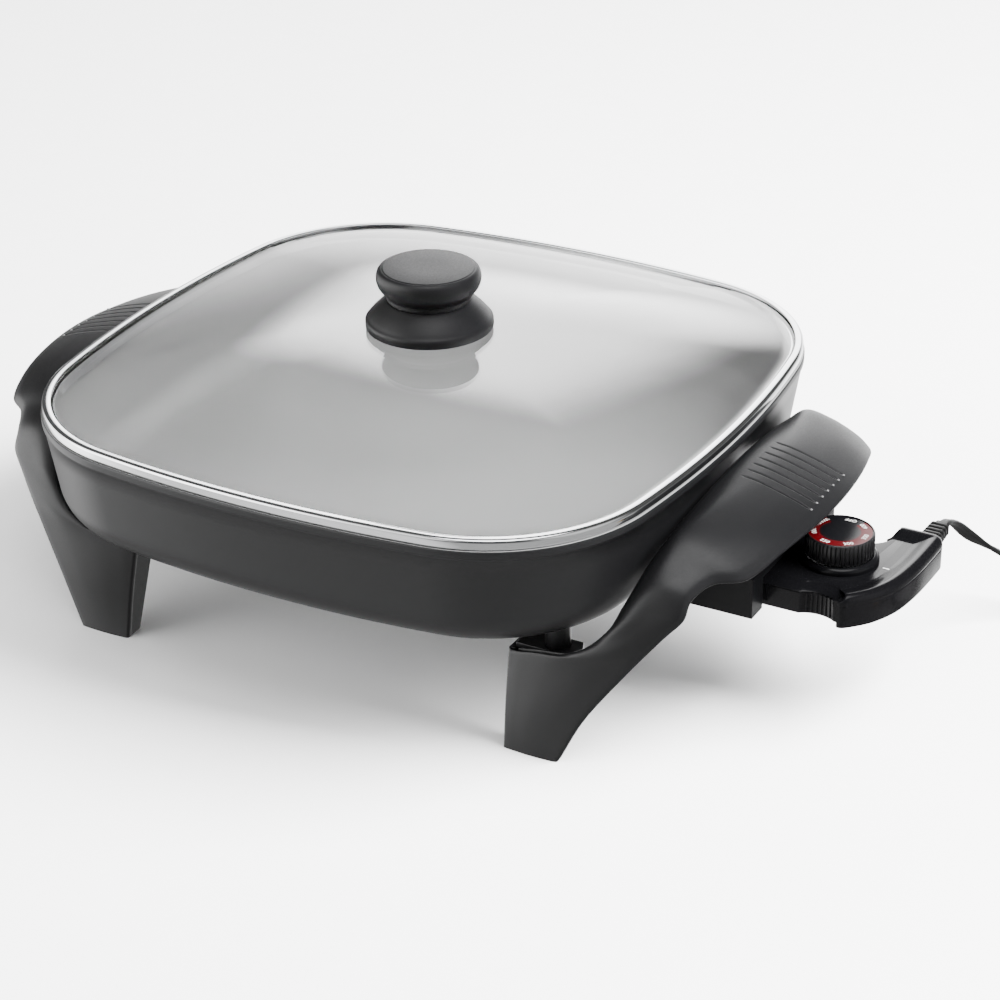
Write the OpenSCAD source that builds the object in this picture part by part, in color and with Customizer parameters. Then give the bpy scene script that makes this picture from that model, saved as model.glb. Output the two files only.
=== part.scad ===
// Electric skillet: a square cast pan on two moulded leg-and-handle frames,
// a lift-off glass lid with a knob, and a plug-in heat control on a short cord.
// +Z is up, +X is the side that carries the heat control. Millimetres.

/* [Pan] */
// Width of the pan and lid across the middle of two opposite sides
pan_width = 305; // [296:1:314]
// Radius of the four corners at the rim
corner_r = 78.5; // [74:0.5:84]
// Radius of the gentle curve along each side
side_r = 579; // [500:1:700]
// Height of the pan's underside above the counter
base_z = 58; // [55:0.5:62]
// Height from the underside to the top of the rim
pan_depth = 51.4; // [48:0.2:56]
// Thickness of the pan wall
pan_wall = 3; // [2.6:0.1:3.4]
// Thickness of the cooking floor
pan_floor = 4; // [3.8:0.1:4.6]
// Outside radius between wall and floor
base_r = 20; // [17:0.5:22]
// Sideways slope of the wall for each mm of height
wall_taper = 0.156; // [0.12:0.002:0.19]
// How far the rim bead stands out past the wall
rim_bead = 0.7; // [0.4:0.1:1]

/* [Heating element] */
// Diameter of the heating tube
element_d = 6.5; // [6:0.1:7]
// Half width of the heated loop
loop_half = 85; // [78:1:90]
// Corner radius of the heated loop
loop_r = 35; // [28:1:40]
// Half distance between the two terminal pins
pin_y = 16; // [15:0.5:18]
// Diameter of a terminal pin
pin_d = 4; // [3.4:0.1:4.4]
// Depth of the plug axis below the pan's underside
plug_drop = 1.6; // [1.2:0.1:2]
// Width of the cast ridge that holds the heating tube
ridge_w = 12; // [11:0.5:14]
// Depth of the ridge below the underside
ridge_h = 6; // [5.2:0.1:6.4]

/* [Handles and legs] */
// Thickness of the moulded sheet
handle_t = 3; // [2.5:0.1:3.4]
// How far each handle reaches out past the pan side
blade_reach = 49.2; // [46:0.2:54]
// Half distance between the outer faces of the front and rear legs
leg_y = 113.6; // [112:0.2:117]
// Height of the top edge of a leg
leg_top = 44; // [42:0.2:46]
// Thickness of the screw shelf behind each leg
shelf_t = 3.5; // [3:0.1:4]
// Depth of the side flange behind a foot
foot_depth = 10.1; // [8:0.1:13]
// Distance of the fixing screws from the pan side
boss_in = 37.5; // [36:0.5:40]
// Distance of the fixing screws behind the leg face
boss_back = 18.6; // [17:0.2:21]
// Radius of the pan's screw bosses
boss_r = 5.5; // [5:0.1:6]

/* [Terminal guard] */
// Half width of the guard
guard_half = 45.5; // [42:0.5:48]
// Wall thickness of the guard
guard_t = 2.5; // [2:0.1:3]
// Length of the guard from the pan outwards
guard_len = 32.7; // [30:0.1:36]
// Depth of the guard below the pan's underside
guard_drop = 7; // [6:0.2:9]
// Height of the guard's roof above the pan's underside
guard_rise = 12; // [11:0.2:14]
// Gap between the pan side at the rim and the guard's back wall
guard_in = 3.5; // [3:0.1:4.5]
// Half distance between the guard's screws
guard_screw_y = 31; // [28:0.5:34]

/* [Lid] */
// Thickness of the glass
glass_t = 3; // [2.6:0.1:3.6]
// Rise of the glass from its edge to its centre
dome_rise = 19; // [15:0.5:23]
// Width of the metal band's lip over the glass
band_lip = 4; // [3.4:0.1:5]
// Thickness of the band's metal
band_t = 0.8; // [0.6:0.1:1]
// Gap between the band and the pan rim
lid_gap = 0.3; // [0.2:0.05:0.4]
// Depth of the locating flange inside the pan
flange_drop = 5; // [4:0.5:7]

/* [Knob] */
// Radius of the knob's cap
cap_r = 23.8; // [22:0.2:26]
// Height of the cap
cap_h = 12.8; // [11.5:0.1:14]
// Radius of the knob's base flange
skirt_r = 29.1; // [28:0.1:32]
// Height of the base flange
skirt_h = 13.3; // [12:0.1:15]
// Radius of the neck between flange and cap
neck_r = 19.2; // [17:0.2:20]
// Height of the neck
neck_h = 2.2; // [1.8:0.1:4]
// Diameter of the knob screw
knob_screw_d = 4; // [3.5:0.1:4.4]
// Thickness of the rubber gasket under the knob
gasket_t = 1; // [0.8:0.1:1.4]

/* [Heat control] */
// Half width of the control's neck
neck_half = 32; // [30:0.5:33.5]
// Length of the control from the pan side to its outer end
control_out = 84.9; // [82:0.1:90]
// Half width of the grip
grip_half = 36; // [35:0.5:38]
// Length of the grip along the neck's direction
grip_len = 21.4; // [20:0.2:24]
// Wall thickness of the housing
shell_t = 2; // [1.8:0.1:2.2]
// Height of the housing's underside below the plug axis
case_drop = 5.4; // [5.2:0.1:6]
// Height of the housing's deck above the plug axis
case_rise = 7.6; // [7.4:0.1:8.4]
// Height of the grip's raised border above the deck
border_h = 2.3; // [1.5:0.1:3]
// Width of the grip's raised border
border_w = 6; // [4.5:0.1:7]
// Diameter of the temperature probe
probe_d = 6.4; // [6:0.1:6.8]
// Distance of the dial's centre from the pan side
dial_out = 49.7; // [48.6:0.1:51]
// Radius of the dial
dial_r = 15.1; // [14:0.1:16]
// Height of the dial
dial_h = 9.9; // [9:0.1:12]
// Number of grip ribs around the dial
dial_ribs = 48; // [36:1:60]
// Width of the bezel around the dial's foot
bezel_w = 2.2; // [1.8:0.1:2.6]
// Height of the bezel
bezel_h = 3; // [2.4:0.1:3.6]
// Diameter of the dial's spindle
spindle_d = 6; // [5:0.1:6.6]

/* [Cord] */
// Width of the flat cord
cord_w = 5.4; // [5:0.1:6]
// Thickness of the flat cord
cord_t = 2.6; // [2.4:0.1:3.2]
// Length of the strain relief outside the housing
relief_len = 18.2; // [18:0.1:22]
// Mid radius of the coiled length
coil_r = 31.2; // [30:0.2:33]
// Width of the coiled bundle
coil_w = 12; // [11:0.5:14]
// Height of the coiled bundle
coil_h = 6; // [5:0.5:8]

/* [Fits] */
// Radial clearance of pins, bores and shafts
fit = 0.05; // [0.03:0.01:0.08]
// Radial clearance of the probe in its bore
probe_fit = 0.08; // [0.05:0.01:0.1]
// Clearance between parts that move past each other
gap = 0.3; // [0.3:0.05:0.5]
// Clearance between parts that are screwed together
seat = 0.05; // [0.03:0.01:0.08]

/* [Hidden] */

half = pan_width / 2;
rim_z = base_z + pan_depth;
control_end = half + control_out;
blade_end = half + blade_reach;
shift_x = (blade_end - control_end) / 2;

// ---- outline: four side arcs and four corner arcs, tangent to each other
arc_a = side_r - half;
arc_b = side_r - corner_r;
corner_c = (sqrt(2 * arc_b * arc_b - arc_a * arc_a) - arc_a) / 2;
tangent = atan2(corner_c, corner_c + arc_a);

module in_frame() { translate([shift_x, 0, 0]) children(); }

// Point of the outline at angle step k of n, moved outwards by o
function outline_quarter(o, n) = concat(
    [for (k = [0 : n - 1]) let (a = tangent * k / n)
        [-arc_a + (side_r + o) * cos(a), (side_r + o) * sin(a)]],
    [for (k = [0 : 2 * n]) let (a = tangent + (90 - 2 * tangent) * k / (2 * n))
        [corner_c + (corner_r + o) * cos(a), corner_c + (corner_r + o) * sin(a)]],
    [for (k = [n - 1 : -1 : 1]) let (a = 90 - tangent * k / n)
        [(side_r + o) * cos(a), -arc_a + (side_r + o) * sin(a)]]);
function turn(p, q) = q == 0 ? p : turn([-p[1], p[0]], q - 1);
function outline(o, n) = [for (q = [0 : 3]) for (p = outline_quarter(o, n)) turn(p, q)];

// ---- pan
taper_a = atan(wall_taper);
wall_z = rim_z - 4.3;
function wall_at(z) = -wall_taper * (wall_z - z);
base_cz = base_z + base_r;
base_tz = base_cz - base_r * sin(taper_a);
base_co = wall_at(base_tz) - base_r * cos(taper_a);
wall_off = pan_wall / cos(taper_a);
in_r = base_r - pan_floor;
floor_z = base_z + pan_floor;
in_cz = floor_z + in_r;
in_tz = in_cz - in_r * sin(taper_a);
in_co = wall_at(in_tz) - wall_off - in_r * cos(taper_a);
arc_n = 6;
pan_profile = concat(
    [for (k = [0 : arc_n]) let (a = -90 + (90 - taper_a) * k / arc_n)
        [base_co + base_r * cos(a), base_cz + base_r * sin(a)]],
    [[wall_at(wall_z), wall_z],
     [rim_bead * 0.8, wall_z + 0.6], [rim_bead, wall_z + 1.2],
     [rim_bead, rim_z - 0.7], [rim_bead - 0.5, rim_z],
     [wall_at(rim_z) - wall_off + 0.5, rim_z],
     [wall_at(rim_z - 0.5) - wall_off, rim_z - 0.5]],
    [for (k = [arc_n : -1 : 0]) let (a = -90 + (90 - taper_a) * k / arc_n)
        [in_co + in_r * cos(a), in_cz + in_r * sin(a)]],
    []);
pan_n = 6;
pan_m = len(pan_profile);
pan_rings = [for (p = pan_profile) outline(p[0], pan_n)];
pan_k = len(pan_rings[0]);
pan_pts = [for (i = [0 : pan_m - 1]) for (p = pan_rings[i]) [p[0], p[1], pan_profile[i][1]]];
function pk(i, k) = i * pan_k + k % pan_k;
pan_faces = concat([[for (k = [0 : pan_k - 1]) k]],
    [[for (k = [pan_k - 1 : -1 : 0]) pk(pan_m - 1, k)]],
    [for (i = [0 : pan_m - 2]) for (k = [0 : pan_k - 1])
        each [[pk(i, k), pk(i + 1, k), pk(i, k + 1)],
              [pk(i, k + 1), pk(i + 1, k), pk(i + 1, k + 1)]]]);

// ---- heating loop: a strip that follows a rounded square, open towards +X
plug_z = base_z - plug_drop;
turn_r = 12;
exit_x = half - 20.5;
function arc_pts(c, r, a0, a1, n) =
    [for (k = [0 : n]) let (a = a0 + (a1 - a0) * k / n) [c[0] + r * cos(a), c[1] + r * sin(a)]];
loop_s = loop_half - loop_r;
function loop_side(w, x) = concat(
    [[x, pin_y - w]],
    arc_pts([loop_half + turn_r, pin_y + turn_r], turn_r + w, -90, -180, 6),
    arc_pts([loop_s, loop_s], loop_r - w, 0, 90, 8),
    arc_pts([-loop_s, loop_s], loop_r - w, 90, 180, 8));
function flip(pts) = [for (k = [len(pts) - 1 : -1 : 0]) [pts[k][0], -pts[k][1]]];
function loop_strip(w, x) = let (a = loop_side(w, x), b = loop_side(-w, x))
    concat(a, flip(a), [for (k = [len(b) - 1 : -1 : 0]) flip(b)[k]],
        [for (k = [len(b) - 1 : -1 : 0]) b[k]]);
module loop_solid(w, z0, z1, x) {
    translate([0, 0, z0]) linear_extrude(z1 - z0) polygon(loop_strip(w / 2, x));
}

boss_x = half - boss_in;
boss_y = leg_y - boss_back;
boss_bore = 4;
shelf_z = leg_top + 2.5;
sense_x = half - 18.5;
sense_len = 30;

module at_corners() {
    for (sx = [-1, 1]) for (sy = [-1, 1]) translate([sx * boss_x, sy * boss_y, 0]) children();
}
guard_boss_x = half - 36.5;
module at_guard() {
    for (sy = [-1, 1]) translate([guard_boss_x, sy * guard_screw_y, 0]) children();
}

module pan() {
    color([0.16, 0.16, 0.17]) in_frame() difference() {
        union() {
            polyhedron(points = pan_pts, faces = pan_faces, convexity = 6);
            loop_solid(ridge_w, base_z - ridge_h, base_z + 1, exit_x);
            at_corners() translate([0, 0, shelf_z])
                cylinder(h = base_z + 1.5 - shelf_z, r = boss_r, $fn = 48);
            at_guard() translate([0, 0, guard_floor])
                cylinder(h = base_z + 1.5 - guard_floor, r = boss_r, $fn = 48);
            translate([sense_x - sense_len - 3, -6.5, base_z - ridge_h])
                cube([sense_len + 3, 13, ridge_h + 1]);
        }
        loop_solid(element_d + 0.6, base_z - ridge_h - 1, plug_z + element_d / 2 + seat,
            exit_x + 10);
        at_corners() translate([0, 0, shelf_z - 1])
            cylinder(h = 10, d = boss_bore, $fn = 32);
        at_guard() translate([0, 0, guard_floor - 1])
            cylinder(h = 5, d = boss_bore, $fn = 32);
        translate([sense_x - sense_len, 0, plug_z]) rotate([0, 90, 0])
            cylinder(h = sense_len + 8, d = probe_d + 2 * probe_fit, $fn = 48);
    }
}

module tube_bend(c, r, a0) {
    translate([c[0], c[1], plug_z]) rotate([0, 0, a0])
        rotate_extrude(angle = 90, $fn = 96) translate([r, 0]) circle(d = element_d, $fn = 32);
}
module tube_run(p, dir, len) {
    translate([p[0], p[1], plug_z]) rotate([0, 0, dir]) rotate([0, 90, 0])
        cylinder(h = len, d = element_d, $fn = 32);
}
element_end = half - 12.5;
module heating_element() {
    first = loop_half + turn_r;
    up = pin_y + turn_r;
    color([0.62, 0.62, 0.62]) in_frame() union() {
        for (m = [0, 1]) mirror([0, m, 0]) {
            tube_run([first, pin_y], 0, element_end - first);
            tube_bend([first, up], turn_r, 180);
            tube_run([loop_half, up], 90, loop_s - up);
            tube_bend([loop_s, loop_s], loop_r, 0);
            tube_bend([-loop_s, loop_s], loop_r, 90);
            tube_run([-loop_s, loop_half], 0, 2 * loop_s);
        }
        tube_run([-loop_half, -loop_s], 90, 2 * loop_s);
    }
}

module at_pins(x) {
    for (sy = [-1, 1]) translate([x, sy * pin_y, plug_z]) rotate([0, 90, 0]) children();
}
bush_len = 8;
pin_len = 30;
module terminal_pins() {
    color([0.8, 0.8, 0.78]) in_frame() at_pins(element_end) {
        cylinder(h = pin_len - 1, d = pin_d, $fn = 32);
        translate([0, 0, pin_len - 1]) cylinder(h = 1, d1 = pin_d, d2 = pin_d - 1.4, $fn = 32);
    }
}
module pin_bushings() {
    color([0.93, 0.92, 0.88]) in_frame() at_pins(element_end) difference() {
        cylinder(h = bush_len, d = 9, $fn = 32);
        translate([0, 0, -1]) cylinder(h = bush_len + 2, d = pin_d + 2 * fit, $fn = 32);
    }
}

// ---- leg-and-handle sheet: control net from foot to the middle of the blade.
// Each point is (distance past the pan side, distance from the middle, height).
net = [
    [[-54.7, 112.9, 0], [-50.5, 113.3, 0], [-44.5, 113.6, 0],
     [-38.5, 113.6, 0], [-32, 113.3, 0], [-28.9, 112.9, 0]],
    [[-55.6, 109.2, 22], [-49.5, 110.4, 22], [-41, 111.6, 22],
     [-31.5, 111.8, 22.5], [-21.5, 111, 22.8], [-17.9, 110.4, 22.5]],
    [[-56.6, 104.1, 44], [-47.5, 105.8, 43.5], [-34.5, 107.2, 43.5],
     [-20.5, 107, 44], [-7.3, 105, 44.8], [-2.7, 104, 44.5]],
    [[-41.2, 104.4, 43.3], [-33.5, 105.4, 47.5], [-23, 106, 50.5],
     [-11.5, 105, 53], [0.1, 102.2, 54.8], [4.8, 100.4, 54.4]],
    [[-25.5, 102.6, 48.6], [-20, 103.2, 54], [-12, 103, 58.5],
     [-2, 101, 61.8], [7.8, 98.2, 63], [12.1, 96, 63.4]],
    [[-14.5, 98.6, 58.6], [-10, 99.2, 65], [-3.5, 98.5, 69.5],
     [5, 96.3, 71.5], [14.3, 94, 71.5], [18.6, 91.6, 70.8]],
    [[-9.7, 90, 70], [-5.5, 91, 77], [1, 90.5, 81.5],
     [8.5, 89.5, 82.5], [16.5, 88, 80.5], [19.9, 86.5, 78]],
    [[-8.2, 77.5, 77], [-3.2, 78.5, 86], [3.5, 79, 90],
     [12.5, 78.5, 88.6], [20.8, 77.5, 86], [25.1, 77.3, 82.6]],
    [[-6.2, 64, 84.3], [-1.1, 65, 92], [5.5, 66, 96.7],
     [19.5, 67, 93.4], [31, 67.5, 88], [36.7, 67.5, 83.4]],
    [[-3.9, 47, 90], [0.7, 47, 96.8], [9.5, 47.5, 100],
     [25.5, 48, 96.6], [37, 48, 92.2], [43.3, 48, 88.3]],
    [[-1.6, 24, 95.3], [3.1, 24, 101.3], [14.5, 24, 101.9],
     [29, 24, 98.5], [41, 24, 94.2], [47.7, 24, 90.8]],
    [[-0.6, 0, 97.8], [4, 0, 102.9], [15.5, 0, 102.6],
     [29.9, 0, 99], [42, 0, 95], [49.2, 0, 91.6]]
];
net_reach = 49.2;
net_leg_y = 113.6;
net_top = 44;
net_rim = 109.4;
function net_x(v) = half + (v > 0 ? v * blade_reach / net_reach : v);
function net_z(v) = v <= net_top ? v * leg_top / net_top
    : leg_top + (v - net_top) * (rim_z - leg_top) / (net_rim - net_top);
net_mm = [for (r = net) [for (p = r) [net_x(p[0]), -p[1] * leg_y / net_leg_y, net_z(p[2])]]];
rows_n = len(net_mm);
cols_n = len(net_mm[0]);
net_full = concat(net_mm, [[for (p = net_mm[rows_n - 2]) [p[0], -p[1], p[2]]]]);

// Cubic through p1 and p2 with end slopes m1 and m2
function cubic(p1, p2, m1, m2, f) = let (g = f * f, h = f * f * f)
    (2 * h - 3 * g + 1) * p1 + (h - 2 * g + f) * m1 + (3 * g - 2 * h) * p2 + (h - g) * m2;
function slope(p, i, kink) = let (n = len(p))
    i == 0 ? p[1] - p[0] : i == n - 1 ? p[n - 1] - p[n - 2]
    : i == kink ? (p[i + 1] - p[i]) : (p[i + 1] - p[i - 1]) / 2;
function along(p, t, kink = -1) = let (i = min(floor(t), len(p) - 2), f = t - i)
    cubic(p[i], p[i + 1], slope(p, i, kink),
        i + 1 == kink ? p[i + 1] - p[i] : slope(p, i + 1, -1), f);
function column(rows, c) = [for (r = rows) r[c]];

step_s = 3;
step_u = 3;
half_rows = (rows_n - 1) * step_s;
skin_half = [for (i = [0 : half_rows])
    let (row = [for (c = [0 : cols_n - 1])
        along(column(net_full, c), i / step_s, c == 0 ? 2 : -1)])
    [for (j = [0 : (cols_n - 1) * step_u]) along(row, j / step_u)]];
skin = concat(skin_half, [for (i = [half_rows - 1 : -1 : 0])
    [for (p = skin_half[i]) [p[0], -p[1], p[2]]]]);
skin_r = len(skin);
skin_c = len(skin[0]);
function unit(v) = v / norm(v);
function skin_normal(i, j) = unit(cross(
    skin[i][min(j + 1, skin_c - 1)] - skin[i][max(j - 1, 0)],
    skin[min(i + 1, skin_r - 1)][j] - skin[max(i - 1, 0)][j]));
function inner_point(i, j) = let (p = skin[i][j] - handle_t * skin_normal(i, j))
    (i == 0 || i == skin_r - 1) ? [p[0], p[1], 0] : p;
skin_pts = concat(
    [for (i = [0 : skin_r - 1]) for (j = [0 : skin_c - 1]) skin[i][j]],
    [for (i = [0 : skin_r - 1]) for (j = [0 : skin_c - 1]) inner_point(i, j)]);
skin_n = skin_r * skin_c;
function at(i, j) = i * skin_c + j;
skin_faces = concat(
    [for (i = [0 : skin_r - 2]) for (j = [0 : skin_c - 2])
        each [[at(i, j), at(i + 1, j), at(i, j + 1)],
              [at(i, j + 1), at(i + 1, j), at(i + 1, j + 1)]]],
    [for (i = [0 : skin_r - 2]) for (j = [0 : skin_c - 2])
        each [[skin_n + at(i, j), skin_n + at(i, j + 1), skin_n + at(i + 1, j)],
              [skin_n + at(i, j + 1), skin_n + at(i + 1, j + 1), skin_n + at(i + 1, j)]]],
    [for (i = [0 : skin_r - 2]) for (e = [0, 1]) let (j = e * (skin_c - 1),
        a = at(i, j), b = at(i + 1, j))
        each (e == 0 ? [[a, skin_n + a, b], [b, skin_n + a, skin_n + b]]
                     : [[a, b, skin_n + a], [b, skin_n + b, skin_n + a]])],
    [for (j = [0 : skin_c - 2]) for (e = [0, 1]) let (i = e * (skin_r - 1),
        a = at(i, j), b = at(i, j + 1))
        each (e == 0 ? [[a, b, skin_n + a], [b, skin_n + b, skin_n + a]]
                     : [[a, skin_n + a, b], [b, skin_n + a, skin_n + b]])]);

// Side flange and screw shelf behind one leg; sy = -1 front, 1 rear
flange_x0 = net_mm[0][0][0];
flange_lean = atan((net_mm[0][0][0] - net_mm[2][0][0]) / leg_top);
flange_front = [-net_mm[0][0][1], -net_mm[1][0][1], -net_mm[2][0][1]];
function flange_back(z) = flange_front[0] - foot_depth - z * 0.323;
module leg_back(sy) {
    y0 = flange_front[0] - 1;
    y1 = flange_front[1] - 1;
    y2 = flange_front[2] - 1;
    z1 = net_mm[1][0][2];
    back = flange_back(leg_top);
    mirror([0, sy < 0 ? 1 : 0, 0]) {
        translate([flange_x0 + 0.1, 0, 0]) rotate([0, -flange_lean, 0])
            rotate([90, 0, 90]) linear_extrude(handle_t)
                polygon([[flange_front[0] - foot_depth, 0], [y0, 0], [y1, z1],
                         [y2, leg_top], [y2, leg_top + 0.5], [back, leg_top + 0.5]]);
        translate([0, 0, shelf_z - shelf_t]) linear_extrude(shelf_t)
            polygon([[flange_x0 - 1.2, back], [boss_x + 9, back], [boss_x + 13, y2 - 3],
                     [boss_x + 13, y2 - 0.3], [flange_x0 - 1.2, y2 - 0.3]]);
    }
}
module handle_body() {
    difference() {
        union() {
            polyhedron(points = skin_pts, faces = skin_faces, convexity = 8);
            for (sy = [-1, 1]) leg_back(sy);
        }
        for (sy = [-1, 1]) translate([boss_x, sy * boss_y, shelf_z - shelf_t - 2])
            cylinder(h = shelf_t + 4, d = boss_bore + 0.6, $fn = 32);
    }
}
module right_handle() { color([0.2, 0.2, 0.2]) in_frame() handle_body(); }
module left_handle() { color([0.2, 0.2, 0.2]) in_frame() mirror([1, 0, 0]) handle_body(); }

// A pan-head screw that points up, its head seated at z = 0
module screw(d, len, head_r, head_h) {
    translate([0, 0, -0.2]) cylinder(h = len + 0.2, d = d, $fn = 24);
    difference() {
        translate([0, 0, -head_h]) cylinder(h = head_h, r = head_r, $fn = 32);
        translate([0, 0, -head_h - 0.5]) for (a = [0, 90]) rotate([0, 0, a])
            translate([-head_r * 0.6, -0.5, 0]) cube([head_r * 1.2, 1, 0.5 + head_h * 0.5]);
    }
}
module handle_screws() {
    color([0.7, 0.7, 0.7]) in_frame() at_corners() translate([0, 0, shelf_z - shelf_t])
        screw(boss_bore - 2 * fit, shelf_t + 7, 4.2, 2.6);
}

// ---- terminal guard
guard_x0 = half - guard_in;
guard_x1 = guard_x0 + guard_len;
guard_z0 = base_z - guard_drop;
guard_z1 = base_z + guard_rise;
guard_floor = guard_z0 + guard_t;
guard_door = neck_half + 2.5;
guard_door_z = plug_z + case_rise + 2;
module terminal_guard() {
    tab_w = 15;
    color([0.07, 0.07, 0.07]) in_frame() difference() {
        union() {
            translate([guard_x0, -guard_half, guard_z0])
                cube([guard_len, 2 * guard_half, guard_z1 - guard_z0]);
            for (sy = [-1, 1])
                translate([guard_boss_x - 8, sy * guard_screw_y - tab_w / 2, guard_z0])
                    cube([guard_x0 + 1 - guard_boss_x + 8, tab_w, guard_t]);
        }
        translate([guard_x0 + guard_t, -guard_half + guard_t, guard_z0 - 1])
            cube([guard_len - 2 * guard_t, 2 * (guard_half - guard_t),
                guard_z1 - guard_z0 - guard_t + 1]);
        translate([guard_x1 - guard_t - 1, -guard_door, guard_z0 - 1])
            cube([guard_t + 2, 2 * guard_door, guard_door_z - guard_z0 + 1]);
        at_pins(guard_x0 - 1) cylinder(h = guard_t + 2, d = pin_d + 1.2, $fn = 32);
        translate([guard_x0 - 1, 0, plug_z]) rotate([0, 90, 0])
            cylinder(h = guard_t + 2, d = probe_d + 1.6, $fn = 32);
        at_guard() translate([0, 0, guard_z0 - 1])
            cylinder(h = guard_t + 2, d = boss_bore + 0.6, $fn = 32);
    }
}
module guard_screws() {
    color([0.7, 0.7, 0.7]) in_frame() at_guard() translate([0, 0, guard_z0])
        screw(boss_bore - 2 * fit, guard_t + 3.5, 3.6, 2.2);
}

// ---- lid
band_z0 = rim_z + lid_gap;
band_z1 = band_z0 + 2 * band_t + glass_t + 2 * seat;
flange_o = wall_at(rim_z - flange_drop) - wall_off - 0.9;
band_profile = [
    [flange_o, band_z0 - flange_drop], [flange_o, band_z0], [-0.6, band_z0],
    [0, band_z0 + 0.6], [0, band_z1 - 1.2], [-0.35, band_z1 - 0.35],
    [-1.2, band_z1], [-band_lip, band_z1], [-band_lip, band_z1 - band_t],
    [-band_t, band_z1 - band_t], [-band_t, band_z0 + band_t],
    [flange_o - band_t, band_z0 + band_t], [flange_o - band_t, band_z0 - flange_drop]];
band_m = len(band_profile);
band_pts = [for (p = band_profile) for (q = outline(p[0], pan_n)) [q[0], q[1], p[1]]];
band_faces = [for (i = [0 : band_m - 1]) for (k = [0 : pan_k - 1])
    let (j = (i + 1) % band_m)
    each [[pk(i, k), pk(j, k), pk(i, k + 1)], [pk(i, k + 1), pk(j, k), pk(j, k + 1)]]];
module lid_band() {
    color([0.85, 0.85, 0.86]) in_frame()
        polyhedron(points = band_pts, faces = band_faces, convexity = 6);
}
glass_z = band_z0 + band_t + seat;
glass_o = -band_t - 0.15;
knob_z = glass_z + glass_t + dome_rise;
lid_n = 6;
flat_f = 16 / half;
edge_f = 1 - (band_lip + 1) / half;
dome_f = [flat_f, 0.2, 0.3, 0.4, 0.5, 0.6, 0.7, 0.78, 0.86, 0.92, edge_f, 1];
function dome(f) = f <= flat_f ? dome_rise : f >= edge_f ? 0
    : dome_rise * (1 - pow((f - flat_f) / (edge_f - flat_f), 2.05));
glass_ring = outline(glass_o, lid_n);
glass_k = len(glass_ring);
glass_m = len(dome_f);
glass_pts = [for (s = [1, 0]) for (f = dome_f) for (p = glass_ring)
    [p[0] * f, p[1] * f, glass_z + s * glass_t + dome(f)]];
function gp(s, i, k) = (s * glass_m + i) * glass_k + k % glass_k;
glass_faces = concat(
    [[for (k = [glass_k - 1 : -1 : 0]) gp(0, 0, k)]],
    [[for (k = [0 : glass_k - 1]) gp(1, 0, k)]],
    [for (i = [0 : glass_m - 2]) for (k = [0 : glass_k - 1])
        each [[gp(0, i, k), gp(0, i, k + 1), gp(0, i + 1, k)],
              [gp(0, i + 1, k), gp(0, i, k + 1), gp(0, i + 1, k + 1)],
              [gp(1, i, k), gp(1, i + 1, k), gp(1, i, k + 1)],
              [gp(1, i + 1, k), gp(1, i + 1, k + 1), gp(1, i, k + 1)]]],
    [for (k = [0 : glass_k - 1])
        each [[gp(0, glass_m - 1, k), gp(0, glass_m - 1, k + 1), gp(1, glass_m - 1, k)],
              [gp(1, glass_m - 1, k), gp(0, glass_m - 1, k + 1), gp(1, glass_m - 1, k + 1)]]]);
module lid_glass() {
    color([0.8, 0.84, 0.85, 0.5]) in_frame() difference() {
        polyhedron(points = glass_pts, faces = glass_faces, convexity = 4);
        translate([0, 0, knob_z - glass_t - 2])
            cylinder(h = glass_t + 4, d = knob_screw_d + 1, $fn = 32);
    }
}

// ---- knob
insert_r = 4;
insert_h = 14;
spigot_r = 6;
skirt_top = knob_z + skirt_h;
cap_z = skirt_top + neck_h;
module knob_skirt() {
    z = knob_z + 0.1;
    s = skirt_r;
    color([0.13, 0.13, 0.13]) in_frame() rotate_extrude($fn = 96) polygon([
        [spigot_r + fit, knob_z + gasket_t + seat], [13, knob_z + gasket_t + seat],
        [14.5, knob_z + skirt_h * 0.62], [skirt_r - 9, knob_z + skirt_h * 0.62],
        [skirt_r - 3, knob_z + 2], [skirt_r - 2.6, z], [s, z],
        [s, z + skirt_h * 0.24], [s - 0.35, z + skirt_h * 0.3],
        [s - 2.2, z + skirt_h * 0.48], [s - 5.8, z + skirt_h * 0.77],
        [s - 8.6, z + skirt_h * 0.9], [neck_r + 0.3, skirt_top],
        [spigot_r + fit, skirt_top]]);
}
module knob_grip() {
    n = neck_r;
    foot = skirt_top + seat;
    color([0.13, 0.13, 0.13]) in_frame() rotate_extrude($fn = 96) polygon([
        [insert_r + fit, knob_z + gasket_t + seat], [spigot_r, knob_z + gasket_t + seat],
        [spigot_r, foot], [n, foot], [n, cap_z], [n + 1.1, cap_z + cap_h * 0.12],
        [cap_r - 0.8, cap_z + cap_h * 0.35], [cap_r - 0.1, cap_z + cap_h * 0.55],
        [cap_r, cap_z + cap_h * 0.68], [cap_r - 0.7, cap_z + cap_h * 0.88],
        [cap_r - 2, cap_z + cap_h], [0, cap_z + cap_h],
        [0, knob_z + gasket_t + insert_h + 2], [insert_r + fit, knob_z + gasket_t + insert_h + 2]]);
}
module knob_insert() {
    color([0.78, 0.62, 0.3]) in_frame() translate([0, 0, knob_z + gasket_t + 2 * seat])
        difference() {
            cylinder(h = insert_h, r = insert_r, $fn = 32);
            translate([0, 0, -1])
                cylinder(h = insert_h + 2, d = knob_screw_d + 2 * fit, $fn = 32);
        }
}
module knob_gasket() {
    color([0.1, 0.1, 0.1]) in_frame() translate([0, 0, knob_z]) difference() {
        cylinder(h = gasket_t, r = 12.5, $fn = 48);
        translate([0, 0, -1]) cylinder(h = gasket_t + 2, d = knob_screw_d + 0.6, $fn = 32);
    }
}
washer_t = 1;
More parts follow.
